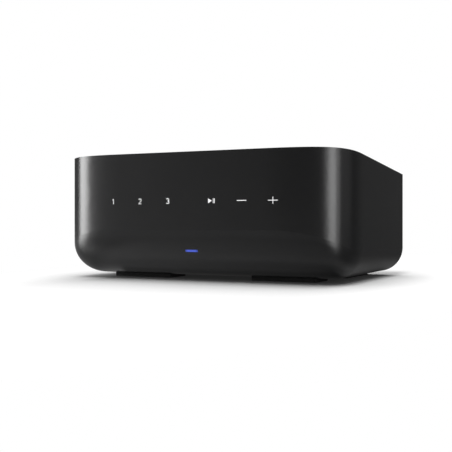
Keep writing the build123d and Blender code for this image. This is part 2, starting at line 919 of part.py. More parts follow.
def make_usb():
    """A USB A socket: folded shield and the tongue that carries its contacts."""
    width, length, height = usb_size
    face = panel_y + socket_proud
    x = centred(width, usb_x)
    y = (face - length, face)
    z = (board_top, board_top + height)
    mouth_x = centred(usb_mouth[0], usb_x)
    mouth_z = centred(usb_mouth[1], board_top + height / 2)
    back = face - length + usb_back_wall
    shield = box_between(x, y, z) - box_between(mouth_x, (back, face), mouth_z)
    top = mouth_z[1] - socket_proud
    tongue = box_between(
        centred(usb_mouth[0] - 2 * usb_tongue_side_gap, usb_x),
        (back, face - usb_tongue_setback),
        (top - usb_tongue_thickness, top),
    )
    return {"usb_shield": shield, "usb_tongue": tongue}


def make_aux():
    """A 3.5 mm jack: its nose goes through the panel."""
    width, length, height = aux_size
    z = board_top + height / 2
    body = box_between(
        centred(width, aux_x), (panel_inner_y - length, panel_inner_y), (board_top, board_top + height)
    )
    end = panel_y + socket_proud
    body += rod_y(aux_x, z, panel_inner_y, end, aux_nose_radius)
    return body - rod_y(aux_x, z, end - aux_bore_depth, end, aux_bore_radius)


def make_setup():
    """The set-up button and the small switch behind it. The button slides in by setup_travel."""
    width, length, height = setup_switch_size
    z = board_top + height / 2
    front = panel_inner_y - length - setup_head_room
    body = box_between(
        centred(width, setup_x), (front, front + length), (board_top, board_top + height)
    )
    stem_back = front + length - setup_plug_in
    bore_end = stem_back - setup_travel - setup_bottom_gap
    body -= rod_y(setup_x, z, bore_end, front + length, setup_stem_radius + running_gap)
    button = rod_y(setup_x, z, stem_back, panel_inner_y, setup_stem_radius)
    button += rod_y(setup_x, z, panel_inner_y, panel_y + setup_proud, setup_head_radius)
    rim = button.edges().filter_by(GeomType.CIRCLE).sort_by(Axis.Y)[-1]
    return {"setup_switch": body, "setup_button": fillet(rim, setup_head_round)}


def make_optical():
    """The optical input: a square socket whose spring shutter swings up and in."""
    width, length, height = optical_size
    z_mid = board_top + height / 2
    face = panel_y + socket_proud
    x = centred(width, optical_x)
    flange = optical_mouth + 2 * optical_flange_wall
    back = panel_inner_y - length + optical_recess
    body = box_between(x, (back, panel_inner_y), (board_top, board_top + height))
    body += box_between(centred(flange, optical_x), (panel_inner_y, face), centred(flange, z_mid))
    body -= box_between(
        centred(optical_mouth, optical_x), (face - optical_depth, face), centred(optical_mouth, z_mid)
    )
    pin_y, pin_z = shutter_axis()
    pin_reach = optical_mouth / 2 + shutter_pin_in
    body -= Pos(optical_x, pin_y, pin_z) * Rot(0, 90, 0) * Cylinder(
        shutter_pin_radius + running_gap, 2 * (pin_reach + shutter_pin_end_gap)
    )
    flap_width = optical_mouth - 2 * shutter_gap
    flap = box_between(
        centred(flap_width, optical_x),
        centred(shutter_thickness, pin_y),
        (z_mid - optical_mouth / 2 + shutter_gap, pin_z),
    )
    flap += Pos(optical_x, pin_y, pin_z) * Rot(0, 90, 0) * Cylinder(shutter_pin_radius, flap_width)
    flap += Pos(optical_x, pin_y, pin_z) * Rot(0, 90, 0) * Cylinder(shutter_pin_radius, 2 * pin_reach)
    return {"optical_socket": body, "optical_shutter": flap}


def shutter_axis():
    """The shutter's hinge axis as (y, z)."""
    z_mid = board_top + optical_size[2] / 2
    y = panel_y + socket_proud - shutter_thickness / 2 - shutter_setback
    return y, z_mid + optical_mouth / 2 - shutter_pin_radius - shutter_gap


def make_inlet():
    """The mains inlet: a flanged shroud with three blades."""
    face = panel_y + inlet_flange_thickness
    flange = box_between(
        centred(inlet_flange[0], mains_x), (panel_y, face), centred(inlet_flange[1], inlet_z)
    )
    flange = fillet(flange.edges().filter_by(Axis.Y), foot_round)
    back = face - inlet_depth
    body = flange + box_between(
        centred(inlet_body[0], mains_x), (back, panel_y), centred(inlet_body[1], inlet_z)
    )
    cavity = box_between(
        centred(inlet_cavity[0], mains_x),
        (face - inlet_cavity_depth, face),
        centred(inlet_cavity[1], inlet_z),
    )
    upper = cavity.edges().filter_by(Axis.Y).group_by(Axis.Z)[-1]
    cavity = chamfer(upper, inlet_corner)
    body -= cavity
    pins = []
    thick, tall = inlet_pin
    for dx, dz in (
        (-inlet_pin_spread, -inlet_pin_drop),
        (inlet_pin_spread, -inlet_pin_drop),
        (0, inlet_earth_rise),
    ):
        blade_x = centred(thick, mains_x + dx)
        blade_z = centred(tall, inlet_z + dz)
        blade = box_between(blade_x, (back - inlet_tab, face - inlet_pin_setback), blade_z)
        tip = blade.faces().sort_by(Axis.Y)[-1]
        pins.append(chamfer(tip.edges(), inlet_pin_chamfer))
        body -= box_between(
            centred(thick + 2 * seat_gap, mains_x + dx),
            (back, face - inlet_cavity_depth),
            centred(tall + 2 * seat_gap, inlet_z + dz),
        )
    return {"mains_inlet": body, "mains_blades": group(pins + switch_tabs())}


def switch_tabs():
    """The two connecting tabs behind the mains switch."""
    back = panel_y + switch_flange_thickness - switch_depth
    width, thick = switch_tab
    return [
        box_between(centred(width, mains_x), (back - inlet_tab, back), centred(thick, switch_z + dz))
        for dz in (-switch_tab_spread, switch_tab_spread)
    ]


def rocker_axis():
    """The rocker's pivot axis as (y, z)."""
    return panel_y + switch_flange_thickness - rocker_hub, switch_z


def make_switch():
    """The mains rocker switch: flanged frame, rocker on two pins, and two tabs behind."""
    face = panel_y + switch_flange_thickness
    frame = box_between(
        centred(switch_flange[0], mains_x), (panel_y, face), centred(switch_flange[1], switch_z)
    )
    frame = fillet(frame.edges().filter_by(Axis.Y), foot_round)
    back = face - switch_depth
    frame += box_between(
        centred(switch_body[0], mains_x), (back, panel_y), centred(switch_body[1], switch_z)
    )
    frame -= box_between(
        centred(switch_window[0], mains_x),
        (face - switch_cavity_depth, face),
        centred(switch_window[1], switch_z),
    )
    pin_y, pin_z = rocker_axis()
    pin_span = switch_window[0] + 2 * rocker_pin_length - 2 * rocker_side_gap
    along_x = Pos(mains_x, pin_y, pin_z) * Rot(0, 90, 0)
    frame -= along_x * Cylinder(rocker_pin_radius + running_gap, pin_span + rocker_side_gap)
    reach = rocker_round
    rise = reach * tan(radians(rocker_tilt_deg))
    outline = Polygon(
        (-rocker_back, -reach), (rocker_hub + rise, -reach), (rocker_hub, 0),
        (rocker_hub + rise, reach), (-rocker_back, reach),
        align=None,
    )
    disc = outline & Circle(rocker_round)
    width = switch_window[0] / 2 - rocker_side_gap
    rocker = extrude(Plane.YZ * disc, width, both=True) + Rot(0, 90, 0) * Cylinder(
        rocker_pin_radius, pin_span
    )
    rocker = Pos(mains_x, pin_y, pin_z) * Rot(-rocker_tilt_deg, 0, 0) * rocker
    return {"switch_frame": frame, "power_rocker": rocker}


def board(x_range, depth_range, screws):
    """A circuit board with its screw holes and the gaps it leaves round the pillars."""
    y = [front_y + d for d in depth_range]
    sheet = box_between(x_range, y, (board_z, board_top))
    sheet = fillet(sheet.edges().filter_by(Axis.Z), foot_round)
    for x, depth in screws:
        sheet -= rod_z(x, front_y + depth, board_z, board_top, screw_radius + cutout_gap)
    for x, depth in mirrored(pillars):
        sheet -= rod_z(x, front_y + depth, board_z, board_top, pillar_radius + pillar_clearance)
    return sheet


def on_board(x, depth, size, lift=0.0):
    """A box-shaped part standing on a board, its foot lifted by lift."""
    width, length, height = size
    z = board_top + lift
    return box_between(centred(width, x), centred(length, front_y + depth), (z, z + height))


def make_front_stack():
    """What lies behind the keys: touch film, light frame, touch board and its lamps."""
    frame_x = centred(light_frame_width)
    frame_z = centred(light_frame_height, key_z)
    slab = box_between(frame_x, (film_y, touch_y), frame_z)
    behind_film = skin(wall + touch_film_thickness, rear_y)
    frame = slab & behind_film
    film = (slab & skin(wall, rear_y)) - behind_film
    lamps = []
    for x in key_xs:
        frame -= box_between(
            centred(light_tunnel, x), (front_y, touch_y), centred(light_tunnel, key_z)
        )
        film -= box_between(
            centred(light_tunnel / 2, x), (front_y, touch_y), centred(light_tunnel / 2, key_z)
        )
        lamps.append((x, key_z))
    for x in centred(status_bar_width / 2):
        lamps.append((x, status_z))
    board_y = (touch_y, touch_y + touch_board_thickness)
    pcb = box_between(centred(2 * touch_screw_x + 3 * boss_radius), board_y, frame_z)
    pcb += box_between(
        centred(touch_tongue_width), board_y, (status_z - touch_tongue_drop / 2, key_z)
    )
    for x in (-touch_screw_x, touch_screw_x):
        pcb -= rod_y(x, key_z, *board_y, screw_radius + cutout_gap)
    width, thickness, height = led_size
    lamp_y = (touch_y - thickness, touch_y)
    return {
        "touch_film": film,
        "light_frame": frame,
        "touch_board": pcb,
        "key_lamps": group(
            box_between(centred(width, x), lamp_y, centred(height, z)) for x, z in lamps
        ),
        "status_light_bar": status_bar(0, front_y - wall) & skin(0, rear_y),
    }


def make_amplifier_parts():
    """What stands on the main board: output chip and heat sink, coils, capacitors and radio."""
    width, length, height = sink_size
    chip = on_board(sink_x, sink_depth, chip_size)
    sink = on_board(sink_x, sink_depth, (width, length, sink_base), chip_size[2])
    pitch = (width - sink_fin_thickness) / (sink_fins - 1)
    for i in range(sink_fins):
        x = sink_x - width / 2 + sink_fin_thickness / 2 + i * pitch
        fin = (sink_fin_thickness, length, height - sink_base)
        sink += on_board(x, sink_depth, fin, chip_size[2] + sink_base)
    half = (inductor_count - 1) / 2
    coils = []
    for i in range(inductor_count):
        x = sink_x + (i - half) * inductor_pitch
        body = on_board(x, inductor_depth, inductor_size)
        coils.append(chamfer(body.edges().filter_by(Axis.Z), inductor_chamfer))
    caps = []
    for x in rail_cap_xs:
        y = front_y + rail_cap_depth
        cap = rod_z(x, y, board_top, board_top + rail_cap_height, rail_cap_radius)
        caps.append(chamfer(cap.edges().filter_by(GeomType.CIRCLE), cap_chamfer))
    radio = on_board(radio_x, radio_depth, radio_size)
    can = on_board(radio_x, radio_depth, radio_can, radio_size[2])
    processor = on_board(processor_x, processor_depth, chip_size)
    return {
        "power_chips": group([chip, processor]),
        "heat_sink": sink,
        "output_coils": group(coils),
        "rail_capacitors": group(caps),
        "radio_module": radio,
        "radio_shield": fillet(can.edges().filter_by(Axis.Z), 1.0),
    }


def make_power_parts():
    """What stands on the power board: reservoir capacitors, transformer, cooling plate and choke."""
    bulk = []
    for depth in bulk_cap_depths:
        top = board_top + bulk_cap_height
        cap = rod_z(bulk_cap_x, front_y + depth, board_top, top, bulk_cap_radius)
        bulk.append(chamfer(cap.edges().filter_by(GeomType.CIRCLE), cap_chamfer))
    width, length, height = transformer_core
    limb = transformer_limb
    core = on_board(transformer_x, transformer_depth, transformer_core, transformer_lift)
    window = ((width - 3 * limb) / 2, 2 * length, height - 2 * limb)
    for side in (-1, 1):
        x = transformer_x + side * (limb / 2 + window[0] / 2)
        core -= on_board(x, transformer_depth, window, transformer_lift + limb)
    coil_width = limb + 2 * window[0] - 2 * running_gap
    coil = on_board(
        transformer_x,
        transformer_depth,
        (coil_width, length + 2 * coil_overhang, window[2] - 2 * running_gap),
        transformer_lift + limb + running_gap,
    )
    coil = fillet(coil.edges().filter_by(Axis.Z), coil_round)
    coil -= on_board(
        transformer_x, transformer_depth, (limb + 2 * running_gap, length + 2 * running_gap, height)
    )
    for side in (-1, 1):
        depth = transformer_depth + side * (length / 2 + (coil_overhang + running_gap) / 2)
        coil += on_board(transformer_x, depth, (coil_width, coil_foot, limb + coil_round))
    near, far = plate_sink_depth
    plate = box_between(
        centred(plate_sink_thickness, plate_sink_x),
        (front_y + near, front_y + far),
        (board_top, board_top + plate_sink_height),
    )
    thick = plate_sink_fin_thickness
    for i in range(plate_sink_fins):
        depth = near + thick / 2 + i * (far - near - thick) / (plate_sink_fins - 1)
        plate += box_between(
            (plate_sink_x, plate_sink_x + plate_sink_fin),
            centred(thick, front_y + depth),
            (board_top + plate_sink_fin_low, board_top + plate_sink_height),
        )
    choke_z = board_top + choke_radius + choke_wire_radius
    choke = Pos(choke_x, front_y + choke_depth, choke_z) * Rot(90, 0, 0)
    choke = choke * Torus(choke_radius, choke_wire_radius)
    return {
        "reservoir_capacitors": group(bulk),
        "transformer_core": core,
        "transformer_coil": coil,
        "cooling_plate": plate,
        "mains_choke": choke,
    }


def lead(points, radius=lead_radius):
    """A wire along a route of straight runs joined by arcs."""
    corners = [Vector(*p) for p in points]
    radii = []
    for a, b, c in zip(corners, corners[1:], corners[2:]):
        into, out = b - a, c - b
        turn = radians(into.get_angle(out))
        radii.append(lead_bend_share * min(into.length, out.length) / tan(turn / 2))
    route = FilletPolyline(*points, radius=radii)
    section = Plane(origin=route @ 0, z_dir=route % 0) * Circle(radius)
    return sweep(section, path=route)


def make_wiring():
    """Mains and speaker leads, the link between the boards and the flex to the touch board."""
    blade_y = panel_y + inlet_flange_thickness - inlet_depth - inlet_tab - seat_gap
    blade_z = inlet_z - inlet_pin_drop
    end_y = front_y + power_board_depth[1] - mains_lead_edge
    first_x = rear_pillar[0] + pillar_radius + lead_radius
    mains = []
    for i, x in enumerate((mains_x - inlet_pin_spread, mains_x + inlet_pin_spread)):
        end_x = first_x + i * mains_lead_pitch
        mains.append(
            lead(
                [
                    (x, blade_y, blade_z),
                    (x, blade_y - mains_lead_run, blade_z),
                    (end_x, end_y, blade_z - mains_lead_drop),
                    (end_x, end_y, board_top),
                ]
            )
        )
    return {
        "mains_leads": group(mains),
        "speaker_leads": group(speaker_leads()),
        "power_link": power_link(),
        "touch_flex": touch_flex(),
    }


def speaker_leads():
    """A lead to each speaker terminal, with a ring lug under the terminal's nut."""
    lug_y = panel_inner_y - terminal_plate_thickness / 2 - nut_thickness
    thick = (lug_y - lug_thickness, lug_y)
    end_y = front_y + lead_end_depth
    leads = []
    for i, (x, z) in enumerate(terminal_places()):
        tail_z = z - ring_radius - lug_tail
        lug = rod_y(x, z, *thick, ring_radius)
        lug += box_between(centred(lug_neck, x), thick, (tail_z - lead_radius - lug_end, z))
        lug -= rod_y(x, z, *thick, stud_radius + stud_gap)
        end_x = main_board_x[1] - speaker_lead_from_edge - i * speaker_lead_pitch
        route = [
            (x, lug_y - lug_thickness / 2, tail_z),
            (x - lead_radius, lug_y - speaker_lead_run, tail_z),
            ((x + end_x) / 2, end_y, tail_z + speaker_lead_rise),
            (end_x, end_y, tail_z),
            (end_x, end_y, board_top),
        ]
        leads.append(lug + lead(route))
    return leads


def power_link():
    """A stiff ribbon that bridges from one board to the other."""
    high = board_top + link_height
    left, right = main_board_x[1] - link_inset, power_board_x[0] + link_inset
    arch = FilletPolyline(
        (right, board_top), (right, high), (left, high), (left, board_top), radius=flex_bend
    )
    strip = extrude(Plane.XZ * trace(arch, link_thickness), link_width / 2, both=True)
    return Pos(0, front_y + link_depth, 0) * strip


def touch_flex():
    """The flat cable from the touch board, with the plug that stands on the main board."""
    width, length, height = flex_plug
    low = key_z - light_frame_height / 2 + flex_rise
    y0 = touch_y + touch_board_thickness
    plug_y = front_y + main_board_depth[0] + flex_plug_edge
    run = FilletPolyline(
        (y0, low),
        (y0 + flex_run, low),
        (plug_y - flex_slack, board_top + flex_run),
        (plug_y, board_top + height / 2),
        radius=flex_bend,
    )
    flex = extrude(Plane.YZ * trace(run, flex_thickness), flex_width / 2, both=True)
    flex &= box_between(centred(flex_width), (y0, plug_y), (0, top_z))
    plug = box_between(
        centred(width), centred(length, plug_y), (board_top, board_top + height)
    )
    return flex + plug


def make_antennas():
    """Two flat aerials on the housing's side walls."""
    thick, length, height = antenna_size
    x = housing_width / 2 - wall - thick / 2
    strips = [
        box_between(
            centred(thick, side * x),
            centred(length, front_y + antenna_depth),
            centred(height, antenna_z),
        )
        for side in (-1, 1)
    ]
    return {"antennas": group(strips)}


def make_screws():
    """The screws of the cover, of the boards inside and of the rear panel."""
    long_screw = pillar_joint_z + cover_screw_grip - cover_screw_tip_gap - pillar_web - base_z
    cover = [
        Pos(x, front_y + d, base_z + pillar_web) * Rot(180, 0, 0) * screw(long_screw)
        for x, d in mirrored(pillars)
    ]
    boards = [
        Pos(x, front_y + d, board_top) * screw(screw_length - board_thickness)
        for x, d in main_board_screws + power_board_screws
    ]
    panel = [
        Pos(x, panel_y, z) * Rot(-90, 0, 0) * screw(screw_length) for x, z in rear_boss_places()
    ]
    touch = [
        Pos(x, touch_y + touch_board_thickness, key_z)
        * Rot(-90, 0, 0)
        * screw(light_frame_depth + touch_board_thickness - touch_screw_tip_gap)
        for x in (-touch_screw_x, touch_screw_x)
    ]
    return {
        "cover_screws": group(cover),
        "board_screws": group(boards + touch),
        "panel_screws": group(panel),
    }


def build():
    """Every node of the amplifier by name."""
    nodes = {
        "housing": make_housing(),
        "top_cover": make_cover(),
        "rear_panel": make_rear_panel(),
        "main_board": board(main_board_x, main_board_depth, main_board_screws),
        "power_board": board(power_board_x, power_board_depth, power_board_screws),
        "aux_jack": make_aux(),
    }
    for made in (
        make_feet(),
        make_terminals(),
        make_phono(),
        make_ethernet(),
        make_usb(),
        make_setup(),
        make_optical(),
        make_inlet(),
        make_switch(),
        make_front_stack(),
        make_amplifier_parts(),
        make_power_parts(),
        make_wiring(),
        make_antennas(),
        make_screws(),
    ):
        nodes.update(made)
    return nodes


os.makedirs("parts", exist_ok=True)
for name, shape in build().items():
    export_step(shape, f"parts/{name}.step")
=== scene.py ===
"""Dresses the multiroom amplifier's solids for rendering: finishes, printed marks and studio."""

import logging
import math
from dataclasses import dataclass, field, replace
from enum import Enum

import bmesh
import bpy
from mathutils import Matrix, Vector
from mathutils.bvhtree import BVHTree


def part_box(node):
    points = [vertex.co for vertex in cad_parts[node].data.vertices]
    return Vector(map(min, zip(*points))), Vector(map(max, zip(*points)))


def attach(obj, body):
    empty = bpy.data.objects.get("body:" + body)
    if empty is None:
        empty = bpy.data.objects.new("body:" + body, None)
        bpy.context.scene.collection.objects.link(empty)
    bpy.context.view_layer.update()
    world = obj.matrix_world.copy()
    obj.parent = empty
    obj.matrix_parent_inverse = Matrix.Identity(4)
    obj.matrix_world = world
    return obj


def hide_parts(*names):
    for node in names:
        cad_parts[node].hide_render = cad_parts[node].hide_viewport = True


LOG = logging.getLogger("amplifier")
MM = 0.001
# How thick every printed mark stands, in millimetres.
INK = 0.03
# Corners, and heights, that are nearer than this in metres are the same.
SAME_CORNER = 1e-7
SAME_HEIGHT = 1e-6
# Blender's noise seldom leaves this span.
NOISE_SPAN = (0.3, 0.7)
RANGE_ENDS = ("From Min", "From Max", "To Min", "To Max")

Pair = tuple[float, float]
Point = tuple[float, float, float]
Form = bmesh.types.BMesh
Item = bpy.types.Object
Material = bpy.types.Material
Mesh = bpy.types.Mesh
Node = bpy.types.Node
Socket = bpy.types.NodeSocket
Tree = bpy.types.NodeTree

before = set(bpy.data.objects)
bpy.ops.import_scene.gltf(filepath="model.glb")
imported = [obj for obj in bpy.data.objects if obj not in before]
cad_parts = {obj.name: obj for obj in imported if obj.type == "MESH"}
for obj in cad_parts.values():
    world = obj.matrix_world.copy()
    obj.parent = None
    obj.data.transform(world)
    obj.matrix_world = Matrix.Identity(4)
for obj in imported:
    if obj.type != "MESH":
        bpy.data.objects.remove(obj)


class Facing(Enum):
    """The side that a flat mark is read from, as a turn round the upright axis in degrees."""

    FRONT = 0
    REAR = 180

    def turn(self) -> Matrix:
        """Gives the turn that brings a mark drawn on the XY plane to face this side."""
        upright = Matrix.Rotation(math.radians(90), 4, "X")
        return Matrix.Rotation(math.radians(self.value), 4, "Z") @ upright


class Axis(Enum):
    """The direction that a metal was rubbed, rolled or turned in."""

    X = 0
    Y = 1
    Z = 2


def linear(code: str) -> tuple[float, float, float, float]:
    """Turns an sRGB hex colour into the linear colour that shaders take.

    Args:
        code: Six hex digits, such as "1a1a1b".

    Returns:
        Red, green, blue and alpha, from 0 to 1.
    """
    shares = [int(code[start : start + 2], 16) / 255 for start in (0, 2, 4)]
    red, green, blue = (
        share / 12.92 if share <= 0.04045 else ((share + 0.055) / 1.055) ** 2.4
        for share in shares
    )
    return (red, green, blue, 1.0)


def add_node(
    tree: Tree,
    kind: str,
    settings: dict[str | int, object] | None = None,
    links: dict[str | int, Socket] | None = None,
) -> Node:
    """Adds one shader node with its settings and incoming links.

    Args:
        tree: The material's or world's node tree.
        kind: The node's Blender type name.
        settings: Values by the input's name or number, or else by the node's own property.
        links: Output sockets by the name or number of the input that they feed.

    Returns:
        The new node.
    """
    node = tree.nodes.new(kind)
    for name, value in (settings or {}).items():
        if isinstance(name, int) or name in node.inputs:
            node.inputs[name].default_value = value
        else:
            setattr(node, name, value)
    for name, socket in (links or {}).items():
        tree.links.new(socket, node.inputs[name])
    return node


@dataclass(frozen=True)
class Finish:
    """A surface finish on one Principled shader, with a fine bump and an uneven gloss."""

    name: str
    colour: str
    roughness: float
    metallic: float = 0.0
    ior: float = 1.5
    grain_mm: float = 0.5
    grain_lift_mm: float = 0.004
    gloss_patch_mm: float = 18.0
    gloss_spread: float = 0.03
    coat: float = 0.0
    coat_roughness: float = 0.1
    glow: float = 0.0

    def make(self) -> Material:
        """Builds the material.

        Returns:
            The finished material.
        """
        material = bpy.data.materials.new(self.name)
        material.use_nodes = True
        tree = material.node_tree
        tree.nodes.clear()
        place = add_node(tree, "ShaderNodeTexCoord").outputs["Object"]
        settings = {
            "Base Color": linear(self.colour),
            "Metallic": self.metallic,
            "Coat Weight": self.coat,
            "Coat Roughness": self.coat_roughness,
        }
        if not self.metallic:
            settings["IOR"] = self.ior
        if self.glow:
            settings["Emission Color"] = linear(self.colour)
            settings["Emission Strength"] = self.glow
        height, lift_mm = self.relief(tree, place)
        bump = add_node(
            tree, "ShaderNodeBump", {"Strength": 1.0, "Distance": lift_mm * MM}, {"Height": height}
        )
        links = {"Roughness": self.uneven_gloss(tree, place), "Normal": bump.outputs["Normal"]}
        shader = add_node(tree, "ShaderNodeBsdfPrincipled", settings, links)
        self.paint(tree, place, shader)
        add_node(tree, "ShaderNodeOutputMaterial", links={"Surface": shader.outputs["BSDF"]})
        return material

    def uneven_gloss(self, tree: Tree, place: Socket) -> Socket:
        """Lets the roughness wander a little, as handling and moulding leave it.

        Args:
            tree: The material's node tree.
            place: The object coordinates.

        Returns:
            The roughness.
        """
        cloudy = {"Scale": 1 / (self.gloss_patch_mm * MM), "Detail": 3.0}
        patches = add_node(tree, "ShaderNodeTexNoise", cloudy, {"Vector": place})
        reach = (self.roughness - self.gloss_spread, self.roughness + self.gloss_spread)
        settings = dict(zip(RANGE_ENDS, NOISE_SPAN + reach))
        spread = add_node(tree, "ShaderNodeMapRange", settings, {"Value": patches.outputs["Fac"]})
        return spread.outputs["Result"]

    def relief(self, tree: Tree, place: Socket) -> tuple[Socket, float]:
        """Raises the grain that the surface was made with.

        Args:
            tree: The material's node tree.
            place: The object coordinates.

        Returns:
            The height, from 0 to 1, and what 1 stands for in millimetres.
        """
        settings = {"Scale": 1 / (self.grain_mm * MM), "Detail": 2.0}
        grain = add_node(tree, "ShaderNodeTexNoise", settings, {"Vector": place})
        return grain.outputs["Fac"], self.grain_lift_mm

    def paint(self, tree: Tree, place: Socket, shader: Node) -> None:
        """Leaves the plain colour as it is; a patterned finish overrides this."""


@dataclass(frozen=True)
class Mottled(Finish):
    """A finish whose colour drifts between two shades."""

    second: str = "202020"
    patch_mm: float = 6.0
    drift: Pair = (0.35, 0.65)

    def pattern(self, tree: Tree, place: Socket) -> Socket:
        """Lays cloudy patches.

        Args:
            tree: The material's node tree.
            place: The object coordinates.

        Returns:
            The pattern, which is the second shade above the drift.
        """
        settings = {"Scale": 1 / (self.patch_mm * MM), "Detail": 4.0}
        noise = add_node(tree, "ShaderNodeTexNoise", settings, {"Vector": place})
        return noise.outputs["Fac"]

    def paint(self, tree: Tree, place: Socket, shader: Node) -> None:
        """Mixes the two shades by the pattern.

        Args:
            tree: The material's node tree.
            place: The object coordinates.
            shader: The Principled shader.
        """
        ramp = add_node(tree, "ShaderNodeValToRGB", links={"Fac": self.pattern(tree, place)})
        low, high = ramp.color_ramp.elements
        low.position, high.position = self.drift
        low.color, high.color = linear(self.colour), linear(self.second)
        tree.links.new(ramp.outputs["Color"], shader.inputs["Base Color"])


@dataclass(frozen=True)
class Brushed(Finish):
    """A metal rubbed one way, so that its scratches run along one axis."""

    along: Axis = Axis.X
    scratch_length: float = 40.0

    def relief(self, tree: Tree, place: Socket) -> tuple[Socket, float]:
        """Stretches the grain into fine scratches.

        Args:
            tree: The material's node tree.
            place: The object coordinates.

        Returns:
            The height, from 0 to 1, and what 1 stands for in millimetres.
        """
        squeeze = [1.0 if axis is self.along else self.scratch_length for axis in Axis]
        mapping = add_node(tree, "ShaderNodeMapping", {"Scale": squeeze}, {"Vector": place})
        return super().relief(tree, mapping.outputs["Vector"])


@dataclass(frozen=True)
class Threaded(Finish):
    """A turned metal with a screw thread cut round it."""

    pitch_mm: float = 0.8
    thread_mm: float = 0.12

    def relief(self, tree: Tree, place: Socket) -> tuple[Socket, float]:
        """Cuts the thread as even rings along Y.

        Args:
            tree: The material's node tree.
            place: The object coordinates.

        Returns:
            The height, from 0 to 1, and what 1 stands for in millimetres.
        """
        # A wave texture of scale s repeats every pi / (10 s).
        settings = {"bands_direction": "Y", "Scale": math.pi / (10 * self.pitch_mm * MM)}
        rings = add_node(tree, "ShaderNodeTexWave", settings, {"Vector": place})
        return rings.outputs["Fac"], self.thread_mm


@dataclass(frozen=True)
class LitPipe(Finish):
    """A light pipe with its lamp behind the middle, so that its ends are dimmer."""

    end_colour: str = "1c1a4a"
    half_mm: float = 4.4
    even_mm: float = 2.6

    def paint(self, tree: Tree, place: Socket, shader: Node) -> None:
        """Lets the glow fall off towards both ends.

        Args:
            tree: The material's node tree.
            place: The object coordinates.
            shader: The Principled shader.
        """
        split = add_node(tree, "ShaderNodeSeparateXYZ", links={"Vector": place})
        off = add_node(tree, "ShaderNodeMath", {"operation": "ABSOLUTE"}, {0: split.outputs["X"]})
        span = {"From Min": self.even_mm * MM, "From Max": self.half_mm * MM}
        share = add_node(tree, "ShaderNodeMapRange", span, {"Value": off.outputs["Value"]})
        ramp = add_node(tree, "ShaderNodeValToRGB", links={"Fac": share.outputs["Result"]})
        middle, end = ramp.color_ramp.elements
        middle.color, end.color = linear(self.colour), linear(self.end_colour)
        tree.links.new(ramp.outputs["Color"], shader.inputs["Emission Color"])


@dataclass(frozen=True)
class LaidBoard(Mottled):
    """Green circuit board: copper tracks show as lighter lines under the lacquer."""

    second: str = "2f6d46"
    patch_mm: float = 2.2
    drift: Pair = (0.42, 0.5)

    def pattern(self, tree: Tree, place: Socket) -> Socket:
        """Lays a net of tracks.

        Args:
            tree: The material's node tree.
            place: The object coordinates.

        Returns:
            The pattern, which is track above the drift.
        """
        settings = {"distance": "MANHATTAN", "feature": "F1", "Scale": 1 / (self.patch_mm * MM)}
        cells = add_node(tree, "ShaderNodeTexVoronoi", settings, {"Vector": place})
        return cells.outputs["Distance"]


